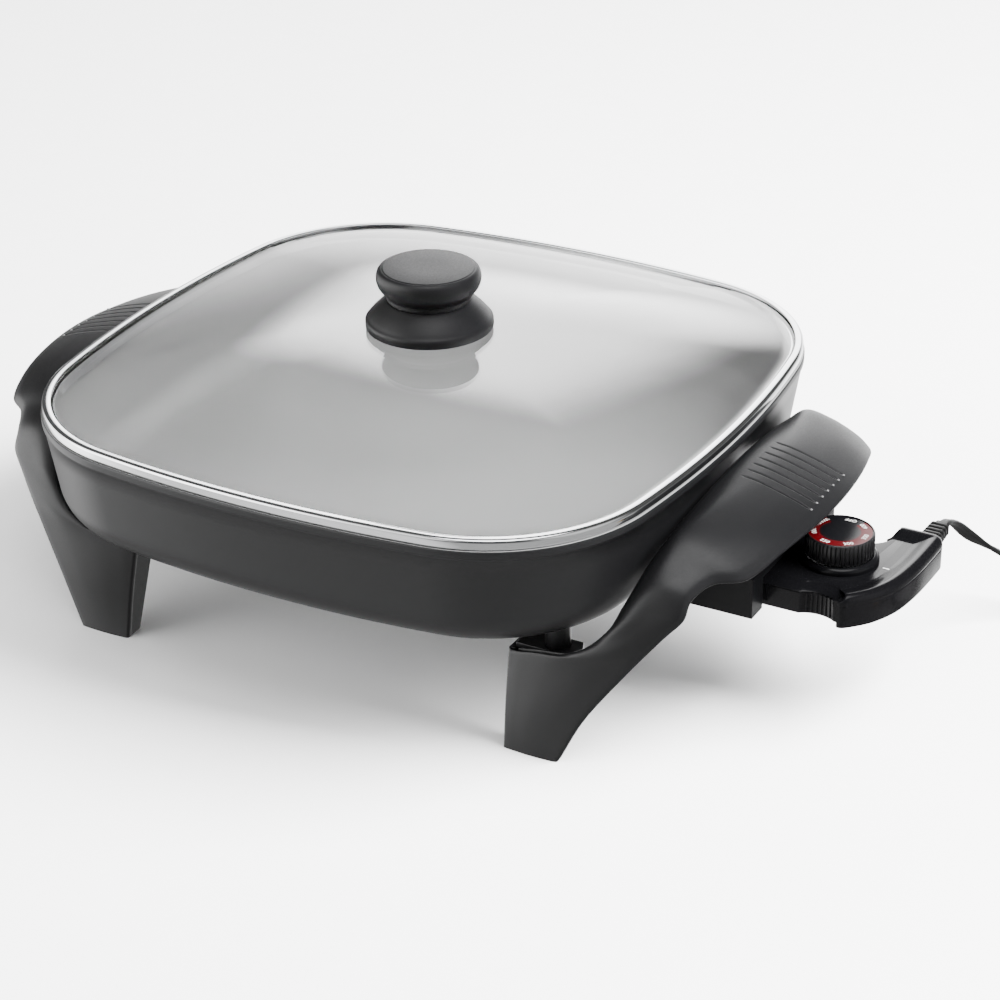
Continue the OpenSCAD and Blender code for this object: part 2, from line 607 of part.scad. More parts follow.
module knob_washer() {
    color([0.75, 0.75, 0.76]) in_frame() translate([0, 0, knob_z - glass_t - washer_t])
        difference() {
            cylinder(h = washer_t, r = 8, $fn = 48);
            translate([0, 0, -1])
                cylinder(h = washer_t + 2, d = knob_screw_d + 0.4, $fn = 32);
        }
}
module knob_screw() {
    color([0.75, 0.75, 0.76]) in_frame() translate([0, 0, knob_z - glass_t - washer_t])
        screw(knob_screw_d, washer_t + glass_t + gasket_t + insert_h - 2, 4.4, 2.8);
}

// ---- heat control
case_x0 = half + 15.5;
case_z0 = plug_z - case_drop;
case_z1 = plug_z + case_rise;
seam_z = case_z1 - 2.5;
grip_x = control_end - grip_len;
far_r = 5.5;
far_half = grip_half + 1.3;
// Outer curve of the grip, (distance from the outer end, distance from the axis)
grip_curve = [[-18.5, -35.4], [-13.4, -30.6], [-8.8, -24.6], [-5, -16.8], [-2.8, -9.6],
              [-1.4, -1.2], [-0.5, 8.4], [-0.1, 19.5], [0, 28]];
grip_norm = [[0.6, -0.8], [0.73, -0.68], [0.85, -0.52], [0.93, -0.37], [0.975, -0.22],
             [0.99, -0.13], [0.997, -0.07], [1, -0.02], [1, 0]];
function grip_edge(d) = let (r = max(far_r - d, 0.4), c = max(far_r, d + 0.4)) concat(
    [[grip_x + d, 1.35 * d - grip_half]],
    [for (k = [0 : len(grip_curve) - 1]) let (
        x = control_end + grip_curve[k][0] - d * grip_norm[k][0],
        y = grip_curve[k][1] - d * grip_norm[k][1])
        if (x > grip_x + d + 0.6) [x, y]],
    arc_pts([control_end - c, far_half - c], r, 0, 90, 4),
    [[grip_x + d, far_half - d]]);
grip_pts = grip_edge(0);
function case_outline(d) = concat([[case_x0 + d, d - neck_half], [grip_x + d, d - neck_half]],
    grip_edge(d), [[grip_x + d, neck_half - d], [case_x0 + d, neck_half - d]]);
block_half = 24;
block_x0 = half + 0.5;
block_len = 25;
relief_x = control_end - 8.05;
relief_z = case_z1 - 3.4;
dial_x = half + dial_out;
screw_spots = [[case_x0 + 16, -22], [case_x0 + 16, 22], [control_end - 11.5, 2]];

module relief_hole() {
    translate([relief_x - 3.4, far_half - 3.3, relief_z - 2.3]) cube([6.8, 4, 3.5]);
}
module control_base() {
    color([0.03, 0.03, 0.03]) in_frame() difference() {
        union() {
            difference() {
                translate([0, 0, case_z0]) linear_extrude(seam_z - seat - case_z0)
                    polygon(case_outline(0));
                translate([0, 0, case_z0 + shell_t]) linear_extrude(20)
                    polygon(case_outline(shell_t));
                translate([case_x0 - 1, -block_half - seat, case_z0 + shell_t])
                    cube([shell_t + 2, 2 * (block_half + seat), 20]);
            }
            for (p = screw_spots) translate([p[0], p[1], case_z0])
                cylinder(h = shell_t + 2, r = 4.4, $fn = 32);
        }
        for (p = screw_spots) translate([p[0], p[1], case_z0 - 1]) {
            cylinder(h = 3, r = 3, $fn = 32);
            cylinder(h = shell_t + 4, d = 3.4, $fn = 32);
        }
        for (k = [0 : 5]) translate([half + 47 + 2.4 * k, -neck_half - 0.01, case_z0 + 1.5])
            cube([1.2, 0.8, seam_z - case_z0 - 3]);
        relief_hole();
    }
}
module control_cover() {
    roof = case_z1 - shell_t;
    color([0.03, 0.03, 0.03]) in_frame() difference() {
        union() {
            difference() {
                union() {
                    translate([case_x0, 0, 0]) rotate([90, 0, 90])
                        linear_extrude(grip_x + 1 - case_x0) polygon([
                            [-neck_half, seam_z], [neck_half, seam_z],
                            [neck_half - 2.4, case_z1 - 1.3], [neck_half - 6.6, case_z1 - 0.4],
                            [neck_half - 12, case_z1], [12 - neck_half, case_z1],
                            [6.6 - neck_half, case_z1 - 0.4], [2.4 - neck_half, case_z1 - 1.3]]);
                    translate([0, 0, seam_z]) linear_extrude(case_z1 - seam_z)
                        polygon(grip_pts);
                }
                translate([0, 0, seam_z - 1]) linear_extrude(roof - seam_z + 1)
                    polygon(case_outline(shell_t + 1));
            }
            difference() {
                translate([0, 0, case_z1 - 0.5]) linear_extrude(border_h + 0.5)
                    polygon(grip_pts);
                translate([0, 0, case_z1 - 1]) linear_extrude(border_h + 2)
                    polygon(grip_edge(border_w));
                translate([dial_x, 0, case_z1])
                    cylinder(h = 9, r = dial_r + bezel_w + 3, $fn = 64);
            }
            for (p = screw_spots) translate([p[0], p[1], case_z0 + shell_t + 2 + seat])
                cylinder(h = roof + 0.5 - case_z0 - shell_t - 2 - seat, r = 3.2, $fn = 32);
        }
        for (p = screw_spots) translate([p[0], p[1], case_z0 + shell_t])
            cylinder(h = 8.4, d = 3 + 2 * fit, $fn = 24);
        translate([case_x0 - 1, -block_half - seat, seam_z - 1])
            cube([shell_t + 3, 2 * (block_half + seat), roof - seam_z + 1]);
        translate([dial_x, 0, roof - 1])
            cylinder(h = shell_t + 3, d = spindle_d + 2 * fit, $fn = 48);
        relief_hole();
    }
}
module control_screws() {
    color([0.6, 0.6, 0.6]) in_frame() for (p = screw_spots)
        translate([p[0], p[1], case_z0 + 2]) screw(3, 7.6, 2.7, 1.6);
}
module dial_bezel() {
    color([0.03, 0.03, 0.03]) in_frame() translate([dial_x, 0, case_z1 + seat])
        rotate_extrude($fn = 96) polygon([
            [spindle_d / 2 + gap, 0], [dial_r + bezel_w, 0], [dial_r + bezel_w, bezel_h - 1],
            [dial_r + bezel_w - 0.9, bezel_h], [spindle_d / 2 + gap, bezel_h]]);
}
probe_tip = sense_x - sense_len + 1.5;
frame_x = half + 35;
module socket_block() {
    top = case_z1 - shell_t - seat;
    color([0.25, 0.22, 0.2]) in_frame() difference() {
        translate([block_x0, -block_half, case_z0 + shell_t + seat])
            cube([block_len, 2 * block_half, top - case_z0 - shell_t - seat]);
        at_pins(block_x0 - 1) cylinder(h = block_len - 1, d = pin_d + 2.6, $fn = 32);
        translate([block_x0 - 1, 0, plug_z]) rotate([0, 90, 0])
            cylinder(h = block_len + 2, d = probe_d + 2 * fit, $fn = 32);
    }
}
module contact_sockets() {
    color([0.75, 0.6, 0.35]) in_frame() at_pins(block_x0 + 0.5) difference() {
        cylinder(h = block_len - 4, d = pin_d + 2.5, $fn = 32);
        translate([0, 0, -1]) cylinder(h = block_len, d = pin_d + 2 * fit, $fn = 32);
    }
}
module sensor_probe() {
    len = frame_x - seat - probe_tip;
    color([0.78, 0.78, 0.78]) in_frame() translate([probe_tip, 0, plug_z]) rotate([0, 90, 0])
        rotate_extrude($fn = 48) polygon([
            [0, 0], [probe_d / 2 - 1, 0], [probe_d / 2, 1.2],
            [probe_d / 2, len], [0, len]]);
}
frame_z = case_z0 + shell_t + seat;
post_top = case_z1 - shell_t - 2.2;
frame_len = 28;
strip_y = -12;
module thermostat_frame() {
    color([0.7, 0.7, 0.68]) in_frame() union() {
        translate([frame_x, strip_y, frame_z]) cube([frame_len, 24, 1.2]);
        translate([frame_x, -6, frame_z]) cube([1.5, 12, post_top - frame_z]);
        for (x = [frame_x + 2.5, frame_x + frame_len - 4]) translate([x, strip_y, frame_z])
            cube([4, 5.5, post_top - frame_z]);
    }
}
module thermostat_strip() {
    color([0.8, 0.66, 0.45]) in_frame()
        translate([frame_x + 2.5, strip_y, post_top + 0.02]) cube([frame_len - 2.5, 5.5, 0.6]);
}
module thermostat_contacts() {
    color([0.85, 0.85, 0.82]) in_frame()
        for (x = [frame_x + 11, frame_x + 18])
            translate([x, strip_y + 2.75, post_top + 0.62 + 0.02]) cylinder(h = 1, r = 1.6, $fn = 24);
}

// ---- dial, turns about the spindle
dial_z = case_z1 + seat + bezel_h + gap;
face_t = 0.5;
dial_top = dial_z + dial_h;
module temperature_dial() {
    n = dial_ribs;
    color([0.04, 0.04, 0.04]) in_frame() translate([dial_x, 0, dial_z]) difference() {
        linear_extrude(dial_h) polygon([for (k = [0 : 4 * n - 1])
            let (r = dial_r - (k % 4 < 2 ? 0 : 0.6), a = 90 * (k + 0.5) / n) r * [cos(a), sin(a)]]);
        translate([0, 0, dial_h - face_t]) cylinder(h = 2, r = dial_r - 0.9, $fn = 96);
        difference() {
            translate([0, 0, -1]) cylinder(h = dial_h - 2, r = dial_r - 2.6, $fn = 64);
            translate([0, 0, -2]) cylinder(h = dial_h, r = spindle_d / 2 + 2.5, $fn = 48);
        }
        translate([0, 0, -1]) cylinder(h = dial_h - 1.5, d = spindle_d + 2 * fit, $fn = 48);
    }
}
module dial_face() {
    color([0.7, 0.05, 0.07]) in_frame() translate([dial_x, 0, dial_top - face_t + 0.02])
        cylinder(h = face_t, r = dial_r - 1, $fn = 96);
}
module dial_spindle() {
    z0 = case_z0 + shell_t + 3.4;
    color([0.6, 0.6, 0.6]) in_frame() translate([dial_x, 0, 0]) {
        translate([0, 0, z0]) cylinder(h = dial_top - 2.6 - z0, d = spindle_d, $fn = 48);
        translate([0, 0, z0]) cylinder(h = 1.8, r = spindle_d / 2 + 1.2, $fn = 48);
    }
}

// ---- cord set
// A block of the strain relief: half width, bottom, top, from y0 to y1 past the housing
module relief_part(w, z0, z1, y0, y1) {
    c = min(w, z1 - z0) * 0.28;
    translate([relief_x, far_half + y1, relief_z]) rotate([90, 0, 0])
        linear_extrude(y1 - y0) polygon([
            [-w, z0 + c], [c - w, z0], [w - c, z0], [w, z0 + c],
            [w, z1 - c], [w - c, z1], [c - w, z1], [-w, z1 - c]]);
}
module strain_relief() {
    ribs = 5;
    rib_len = relief_len - 4;
    pitch = rib_len / (ribs - 0.45);
    color([0.05, 0.05, 0.05]) in_frame() union() {
        relief_part(4.2, -3.2, 0.8, -4.4, -2 - seat);
        relief_part(3.3, -2.2, 1.1, -3, 0.5);
        relief_part(3.6, -2.3, 2.4, seat, rib_len - 0.3);
        for (k = [0 : ribs - 1]) relief_part(4.8 - 0.12 * k, -3.2 + 0.08 * k, 3.2 - 0.08 * k,
            seat + k * pitch, k * pitch + 0.55 * pitch);
        relief_part(3.1, -2, 1.8, rib_len - 0.6, relief_len);
    }
}

// Route of the cord from the strain relief to the coil, in the object's frame
route = [
    [211.5, 55.8, 60.4], [211.6, 61, 59.5], [212, 67, 56.4], [212.9, 72.5, 52.3],
    [214.1, 77.3, 47.9], [215.8, 81.7, 43.7], [218, 85.9, 39.8], [220.8, 89.8, 36.2],
    [224.2, 93.4, 32.8], [228.2, 96.6, 29.4], [232.8, 99.3, 25.8], [237.8, 101.3, 22.2],
    [243, 102.5, 18.6], [248.3, 103, 15.1], [253.6, 103, 11.8], [259, 102.6, 8.7],
    [264.5, 102, 6], [270.2, 101.4, 3.8], [276.1, 101, 2.4], [282, 101, 1.8]
];
coil_c = [282, 67];
plug_c = [314, 8];
lead = [[316, 67, 4.2], [316, 59, 4.4], [315.6, 51, 5.2], [315, 43, 6.6], [314.4, 37, 7.6],
    [314, 31.3, 8]];

// One closed tube with an oval section, swept along pts
tube_n = 8;
function tangent_at(p, i) = unit(p[min(i + 1, len(p) - 1)] - p[max(i - 1, 0)]);
function ring_at(p, i, w, t) = let (d = tangent_at(p, i), s = unit(cross(d, [0, 0, 1])), u = cross(s, d))
    [for (k = [0 : tube_n - 1]) let (a = 360 * (k + 0.5) / tube_n)
        p[i] + s * (w / 2 * cos(a)) + u * (t / 2 * sin(a))];
module tube(p, w, t) {
    m = len(p);
    pts = [for (i = [0 : m - 1]) each ring_at(p, i, w, t)];
    faces = concat([[for (k = [0 : tube_n - 1]) k]],
        [[for (k = [tube_n - 1 : -1 : 0]) (m - 1) * tube_n + k]],
        [for (i = [0 : m - 2]) for (k = [0 : tube_n - 1])
            let (a = i * tube_n + k, b = i * tube_n + (k + 1) % tube_n)
            each [[a, a + tube_n, b], [b, a + tube_n, b + tube_n]]]);
    polyhedron(points = pts, faces = faces, convexity = 6);
}
function dense(p, n) = [for (k = [0 : (len(p) - 1) * n]) along(p, k / n)];
module power_cord() {
    color([0.06, 0.06, 0.06]) tube(dense(route, 1), cord_w, cord_t);
}
coil_sec = [[-0.5, 0.02], [-0.3, 0], [0.3, 0], [0.5, 0.02], [0.5, 0.8], [0.3, 1], [-0.3, 1], [-0.5, 0.8]];
module cord_coil() {
    color([0.06, 0.06, 0.06]) translate([coil_c[0], coil_c[1], 0.05])
        rotate_extrude($fn = 72) polygon([for (p = coil_sec) [coil_r + p[0] * coil_w, p[1] * coil_h]]);
}
module cord_tie() {
    w = coil_w / 2;
    color([0.1, 0.1, 0.1]) translate([coil_c[0], coil_c[1], 0]) rotate([0, 0, 150])
        rotate_extrude(angle = 12, $fn = 72) difference() {
            translate([coil_r - w - 1.2, 0]) square([2 * w + 2.4, coil_h + 1.2]);
            translate([coil_r - w - 0.1, -1]) square([2 * w + 0.2, coil_h + 1.15]);
        }
}
module plug_lead() {
    color([0.06, 0.06, 0.06]) tube(lead, cord_w, cord_t);
}
plug_h = 16;
plug_w = 24;
plug_l = 23;
module plug_body() {
    color([0.05, 0.05, 0.05]) translate([plug_c[0], plug_c[1], 0.05]) rotate([90, 0, 0])
        translate([0, 0, -plug_l]) linear_extrude(plug_l + 8) polygon([
            [-plug_w / 2, 3], [-plug_w / 2 + 3, 0], [plug_w / 2 - 3, 0], [plug_w / 2, 3],
            [plug_w / 2, plug_h - 3], [plug_w / 2 - 3, plug_h],
            [3 - plug_w / 2, plug_h], [-plug_w / 2, plug_h - 3]]);
}
module plug_blades() {
    color([0.8, 0.7, 0.45]) for (s = [-1, 1])
        translate([plug_c[0] + s * 6.35 - 0.75, plug_c[1] - 8 - 17.4, plug_h / 2 - 3.1])
            cube([1.5, 17.4, 6.3]);
}

pan();
heating_element();
terminal_pins();
pin_bushings();
right_handle();
left_handle();
handle_screws();
terminal_guard();
guard_screws();
lid_glass();
lid_band();
knob_skirt();
knob_grip();
knob_insert();
knob_gasket();
knob_washer();
knob_screw();
control_base();
control_cover();
control_screws();
dial_bezel();
socket_block();
contact_sockets();
sensor_probe();
thermostat_frame();
thermostat_strip();
thermostat_contacts();
temperature_dial();
dial_face();
dial_spindle();
strain_relief();
power_cord();
cord_coil();
cord_tie();
plug_lead();
plug_body();
plug_blades();
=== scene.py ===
import bpy
import bmesh
import math
from mathutils import Matrix, Vector


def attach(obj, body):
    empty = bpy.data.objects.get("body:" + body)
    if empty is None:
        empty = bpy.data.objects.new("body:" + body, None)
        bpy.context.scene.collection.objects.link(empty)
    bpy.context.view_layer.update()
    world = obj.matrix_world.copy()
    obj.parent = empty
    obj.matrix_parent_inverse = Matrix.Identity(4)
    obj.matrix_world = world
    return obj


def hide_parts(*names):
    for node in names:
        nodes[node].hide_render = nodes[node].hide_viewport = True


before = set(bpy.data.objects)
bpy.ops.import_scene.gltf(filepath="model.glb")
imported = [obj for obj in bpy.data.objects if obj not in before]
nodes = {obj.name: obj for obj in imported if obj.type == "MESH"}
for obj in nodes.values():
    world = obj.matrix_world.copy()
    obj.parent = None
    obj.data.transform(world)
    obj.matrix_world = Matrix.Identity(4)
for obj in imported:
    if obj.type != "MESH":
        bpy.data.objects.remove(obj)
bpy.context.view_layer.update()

mm = 0.001
shiftX = -17.85  # the pan's middle lies this far along x in the object's frame


def pt(x, y, z):  # a point given in mm from the pan's middle, in metres
    return Vector(((x + shiftX) * mm, y * mm, z * mm))


def wave(lo, hi, x):  # smooth 0 to 1 between lo and hi
    t = min(max((x - lo) / (hi - lo), 0), 1)
    return t * t * (3 - 2 * t)


# the camera and the cord's route come first
cameraView = {"lens": 95.64, "sensor": 36, "far": 50, "place": (0.54070, -0.95032, 0.61935),
              "turn": 28.833, "tilt": 27.631, "roll": -0.562}


def makeCamera():
    view = cameraView
    data = bpy.data.cameras.new("photoCamera")
    data.lens, data.sensor_width, data.clip_end = view["lens"], view["sensor"], view["far"]
    cam = bpy.data.objects.new("photoCamera", data)
    bpy.context.scene.collection.objects.link(cam)
    turn, tilt, roll = (math.radians(view[k]) for k in ("turn", "tilt", "roll"))
    look = Vector((-math.sin(turn) * math.cos(tilt), math.cos(turn) * math.cos(tilt), -math.sin(tilt)))
    side = Vector((math.cos(turn), math.sin(turn), 0))
    up = side.cross(look)
    right = side * math.cos(roll) + up * math.sin(roll)
    up = up * math.cos(roll) - side * math.sin(roll)
    turned = Matrix((right, up, -look)).transposed()
    cam.matrix_world = Matrix.Translation(view["place"]) @ turned.to_4x4()
    bpy.context.scene.camera = cam


makeCamera()

# sizes in mm; inward, climb and outward give the degrees of winding where the coil changes radius or layer
cordLook = {"width": 5.4, "thick": 2.6, "valley": 0.26, "coilX": 282, "coilY": 67, "coilZ": 1.35, "outer": 34,
            "inner": 28.4, "layer": 2.8, "turns": 2.25, "step": 12, "inward": (290, 352), "climb": (505, 575),
            "outward": (726, 806), "roll": 62}
# the cord's own points, in mm in the object's frame: down from the strain relief to the counter
cordDown = [(211.5, 55.8, 60.4), (211.6, 61, 59.5), (212, 67, 56.4), (212.9, 72.5, 52.3), (214.1, 77.3, 47.9),
            (215.8, 81.7, 43.7), (218, 85.9, 39.8), (220.8, 89.8, 36.2), (224.2, 93.4, 32.8), (228.2, 96.6, 29.4),
            (232.8, 99.3, 25.8), (237.8, 101.3, 22.2), (243, 102.5, 18.6), (248.3, 103, 15.1), (253.6, 103, 11.8),
            (259, 102.6, 8.7), (264.5, 102, 6), (270.2, 101.4, 3.8), (276.1, 101, 2.2)]
cordOut = [(316, 61, 4.3), (315.6, 51, 5.2), (315, 43, 6.6), (314.4, 37, 7.6), (314, 30, 8)]


def cordRoute():
    c = cordLook
    route = [Vector(p) for p in cordDown]
    for k in range(0, int(360 * c["turns"]) + 1, c["step"]):  # clockwise seen from above
        r = c["outer"] + (c["inner"] - c["outer"]) * wave(*c["inward"], k)
        r += (c["outer"] - c["inner"]) * wave(*c["outward"], k)
        z = c["coilZ"] + c["layer"] * wave(*c["climb"], k)
        a = math.radians(90 - k)
        route.append(Vector((c["coilX"] + r * math.cos(a), c["coilY"] + r * math.sin(a), z)))
    return route + [Vector(p) for p in cordOut]


cordPath = cordRoute()
print("camera and cord route ready")


# one piece of the scene from its points and faces; it rides on a body and may stand for CAD nodes
def makePiece(name, verts, faces, materials, body, replaced=(), slot=None, faceMat=None, sharp=35):
    mesh = bpy.data.meshes.new(name)
    mesh.from_pydata([tuple(v) for v in verts], [], [tuple(f) for f in faces])
    for m in materials:
        mesh.materials.append(m)
    if faceMat:
        mesh.polygons.foreach_set("material_index", faceMat)
    bm = bmesh.new()
    bm.from_mesh(mesh)
    bmesh.ops.recalc_face_normals(bm, faces=bm.faces)
    bm.to_mesh(mesh)
    bm.free()
    mesh.shade_smooth()
    mesh.set_sharp_from_angle(angle=math.radians(sharp))
    piece = bpy.data.objects.new(name, mesh)
    bpy.context.scene.collection.objects.link(piece)
    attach(piece, body)
    if replaced:
        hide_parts(*replaced)
    return piece


def softEdges(piece, width, steps=3, angle=40):  # width in mm; edges sharper than the angle are rounded
    bevel = piece.modifiers.new("rounded edges", "BEVEL")
    bevel.width, bevel.segments, bevel.limit_method = width * mm, steps, "ANGLE"
    bevel.angle_limit = math.radians(angle)
    return piece


class Shape:  # vertices and faces that are gathered into one piece
    def __init__(self):
        self.verts, self.faces, self.mats = [], [], []

    def add(self, verts, faces, mat=0):
        start = len(self.verts)
        self.verts += [Vector(v) for v in verts]
        self.faces += [[start + i for i in f] for f in faces]
        self.mats += [mat] * len(faces)

    def rings(self, rings, mat=0, closed=False, capStart=True, capEnd=True):
        n, m = len(rings[0]), len(rings)
        faces = []
        for i in range(m if closed else m - 1):
            j = (i + 1) % m
            faces += [[i * n + k, i * n + (k + 1) % n, j * n + (k + 1) % n, j * n + k] for k in range(n)]
        if not closed and capStart:
            faces.append(list(range(n))[::-1])
        if not closed and capEnd:
            faces.append([(m - 1) * n + k for k in range(n)])
        self.add([p for r in rings for p in r], faces, mat)

    def prism(self, outline, z0, z1, mat=0):  # outline in mm from the pan's middle
        self.rings([[pt(x, y, z) for x, y in outline] for z in (z0, z1)], mat)

    def lathe(self, profile, centre=(0, 0), n=128, mat=0, closed=False):  # profile of (radius, height)
        rings = []
        for k in range(n):
            a = 2 * math.pi * k / n
            rings.append([pt(centre[0] + r * math.cos(a), centre[1] + r * math.sin(a), z) for r, z in profile])
        m = len(profile)
        faces = []
        for k in range(n):
            j = (k + 1) % n
            for i in range(m if closed else m - 1):
                h = (i + 1) % m
                faces.append([k * m + i, k * m + h, j * m + h, j * m + i])
        self.add([p for r in rings for p in r], faces, mat)

    def piece(self, name, materials, body, **more):
        return makePiece(name, self.verts, self.faces, materials, body, faceMat=self.mats, **more)


def curve(points, steps):  # a smooth line through the points, steps between each two
    out = []
    n = len(points)
    for i in range(n - 1):
        p0, p1, p2, p3 = points[max(i - 1, 0)], points[i], points[i + 1], points[min(i + 2, n - 1)]
        for k in range(steps):
            t = k / steps
            out.append(tuple(0.5 * (2 * b + (c - a) * t + (2 * a - 5 * b + 4 * c - d) * t * t
                                    + (3 * b - a - 3 * c + d) * t ** 3) for a, b, c, d in zip(p0, p1, p2, p3)))
    return out + [tuple(points[-1])]


def arc(cx, cy, r, a0, a1, n):  # n steps of a circle's arc, angles in degrees
    return [(cx + r * math.cos(math.radians(a0 + (a1 - a0) * k / n)),
             cy + r * math.sin(math.radians(a0 + (a1 - a0) * k / n))) for k in range(n + 1)]


def linear(text):  # sRGB hex to linear colour
    part = [int(text[i:i + 2], 16) / 255 for i in (1, 3, 5)]
    return tuple(c / 12.92 if c <= 0.04045 else ((c + 0.055) / 1.055) ** 2.4 for c in part) + (1,)


def addNode(tree, kind, settings=None, links=None):  # a key is a socket's name or number, or the node's own setting
    node = tree.nodes.new(kind)
    for k, v in (settings or {}).items():
        if isinstance(k, int) or k in node.inputs:
            node.inputs[k].default_value = v
        else:
            setattr(node, k, v)
    for k, v in (links or {}).items():
        tree.links.new(v, node.inputs[k])
    return node


# a finish: noise patterns on the piece itself give its colour, its roughness and its fine relief
# tone is (pattern, dark, light), gloss (pattern, its low, its high, roughness there), relief (pattern, strength, mm)
def makeFinish(name, settings, patterns, tone=None, gloss=None, relief=None, stretch=None):
    material = bpy.data.materials.new(name)
    material.use_nodes = True
    tree = material.node_tree
    tree.nodes.clear()
    shader = addNode(tree, "ShaderNodeBsdfPrincipled", settings)
    addNode(tree, "ShaderNodeOutputMaterial", links={"Surface": shader.outputs[0]})
    place = addNode(tree, "ShaderNodeTexCoord").outputs["Object"]
    if stretch:  # tool lines are drawn out along one direction
        place = addNode(tree, "ShaderNodeMapping", {"Scale": stretch}, {"Vector": place}).outputs[0]
    noise = {k: addNode(tree, "ShaderNodeTexNoise", p, {"Vector": place}).outputs["Fac"] for k, p in patterns.items()}
    if tone:
        by, dark, light = tone
        mix = addNode(tree, "ShaderNodeMix", {"data_type": "RGBA", 6: linear(dark), 7: linear(light)}, {0: noise[by]})
        tree.links.new(mix.outputs[2], shader.inputs["Base Color"])
    if gloss:
        by, low, high, smooth, rough = gloss
        span = {"From Min": low, "From Max": high, "To Min": smooth, "To Max": rough}
        spread = addNode(tree, "ShaderNodeMapRange", span, {"Value": noise[by]})
        tree.links.new(spread.outputs[0], shader.inputs["Roughness"])
    if relief:
        by, strength, depth = relief
        bump = addNode(tree, "ShaderNodeBump", {"Strength": strength, "Distance": depth * mm}, {"Height": noise[by]})
        tree.links.new(bump.outputs[0], shader.inputs["Normal"])
    return material


# moulded plastic from a spark-eroded tool: fine grain that dulls the light, and tone that drifts over about 45 mm
def mouldedPlastic(name, dark, light, rough, grainMm, strength, ior=1.5, shine=0.5):
    return makeFinish(name, {"IOR": ior, "Metallic": 0.0, "Specular IOR Level": shine},
                      {"grain": {"Scale": 1000 / grainMm, "Detail": 2.0, "Roughness": 0.6},
                       "drift": {"Scale": 1000 / 45.5, "Detail": 3.0}},
                      ("drift", dark, light), ("grain", 0.3, 0.7, rough - 0.05, rough + 0.07),
                      ("grain", strength, 0.08))


# polished thermoplastic: sharp highlights over faint sink waves about 30 mm long, with a trace of dust
def polishedPlastic(name, dark, rough, light, shine=0.5):
    return makeFinish(name, {"IOR": 1.5, "Metallic": 0.0, "Specular IOR Level": shine},
                      {"waves": {"Scale": 1000 / 29.4, "Detail": 1.0}, "dust": {"Scale": 1000 / 1.11, "Detail": 2.0}},
                      ("dust", dark, light), ("dust", 0.35, 0.7, rough, rough + 0.03), ("waves", 0.12, 0.3))


# sprayed and baked coating on cast aluminium: orange peel, and gloss that changes in clouds about 110 mm across
def bakedCoating(name, dark, light, rough, peelMm, strength, shine=0.5):
    return makeFinish(name, {"IOR": 1.5, "Metallic": 0.0, "Specular IOR Level": shine},
                      {"peel": {"Scale": 1000 / peelMm, "Detail": 2.0}, "cloud": {"Scale": 1000 / 111, "Detail": 4.0}},
                      ("cloud", dark, light), ("cloud", 0.3, 0.7, rough - 0.04, rough + 0.05), ("peel", strength, 0.05))


# drawn, turned, stamped or polished metal: fine tool lines that break up the reflections
def workedMetal(name, dark, light, rough, lineMm, strength=0.15, stretch=(1, 1, 1)):
    return makeFinish(name, {"Metallic": 1.0}, {"lines": {"Scale": 1000 / lineMm, "Detail": 3.0}},
                      ("lines", dark, light), ("lines", 0.3, 0.7, rough, rough + 0.08), ("lines", strength, 0.02),
                      stretch)


# enamel sprayed on the casting: near black and satin, its orange peel drawn at 1.3 mm so that it shows
panOutside = bakedCoating("bakedEnamelDarkGrey", "#0b0b0c", "#101011", 0.4, 1.3, 0.12, 0.3)
# sol-gel ceramic non-stick: mid grey, smoother and brighter than the outside
panInside = bakedCoating("ceramicNonStickGrey", "#767676", "#7f7f7f", 0.36, 0.9, 0.1, 0.6)
# glass-filled phenolic: charcoal with a fine even grain that spreads the highlights on the handles
handlePlastic = mouldedPlastic("mouldedPhenolicCharcoal", "#080809", "#0c0c0d", 0.4, 0.6, 0.35, shine=0.3)
# the same plastic from the knob's tool: a shade duller, so the cap stays dark under the light
knobPlastic = mouldedPlastic("mouldedPhenolicBlack", "#070708", "#0c0c0d", 0.44, 0.7, 0.3, shine=0.22)
# the guard's black phenolic: the darkest of them, with little shine
guardPlastic = mouldedPlastic("mouldedPhenolicGuard", "#060607", "#09090a", 0.36, 0.8, 0.2, shine=0.14)
# injection moulded ABS from a polished tool: deep black with clear bright edges
controlPlastic = polishedPlastic("polishedAbsBlack", "#050506", 0.2, "#070708", 0.14)
# ABS dial: a little greyer and softer, so that its ribs read
dialPlastic = polishedPlastic("mouldedAbsDial", "#0c0c0d", 0.3, "#111112")
# painted glint: the studs at the grooves' ends are light grey in place of the light that the groove ends catch, so they
# show as grey dots
glintStudPlastic = polishedPlastic("paintedGlintStudGrey", "#4a4a4a", 0.25, "#565656")
# polished stainless strip: a mirror with faint rolling lines along it
polishedSteel = workedMetal("polishedStainless", "#c9cacb", "#e4e5e6", 0.07, 3.0, 0.04, (1, 1, 12))
# annealed steel tube round the heating wire: dull brownish grey
sheathSteel = workedMetal("drawnSheathSteel", "#5c5b58", "#7d7b77", 0.38, 1.5)
# zinc plate on screws and stampings: pale, slightly cloudy
zincSteel = workedMetal("zincPlatedSteel", "#8f9193", "#b9bcbe", 0.28, 1.0)
# nickel plate on pins and probe: brighter and a little warm
nickelSteel = workedMetal("nickelPlatedSteel", "#a9a8a2", "#d2d1cb", 0.18, 1.2)
# stamped brass strip: warm yellow with clean edges
brass = workedMetal("stampedBrass", "#a88646", "#c9a662", 0.24, 0.8)
# moulded silicone: black and dry, with hardly a highlight
silicone = mouldedPlastic("mouldedSilicone", "#080808", "#0e0e0e", 0.55, 0.5, 0.15, 1.43)
# glazed steatite: off-white ceramic with a soft gloss
steatite = mouldedPlastic("glazedSteatite", "#b9b5a9", "#c8c5ba", 0.3, 0.8, 0.1, 1.55)
# brown thermoset that holds the sockets: matt, with the flecks of its filler
thermoset = mouldedPlastic("mouldedThermosetBrown", "#14100e", "#1c1815", 0.5, 0.6, 0.2)
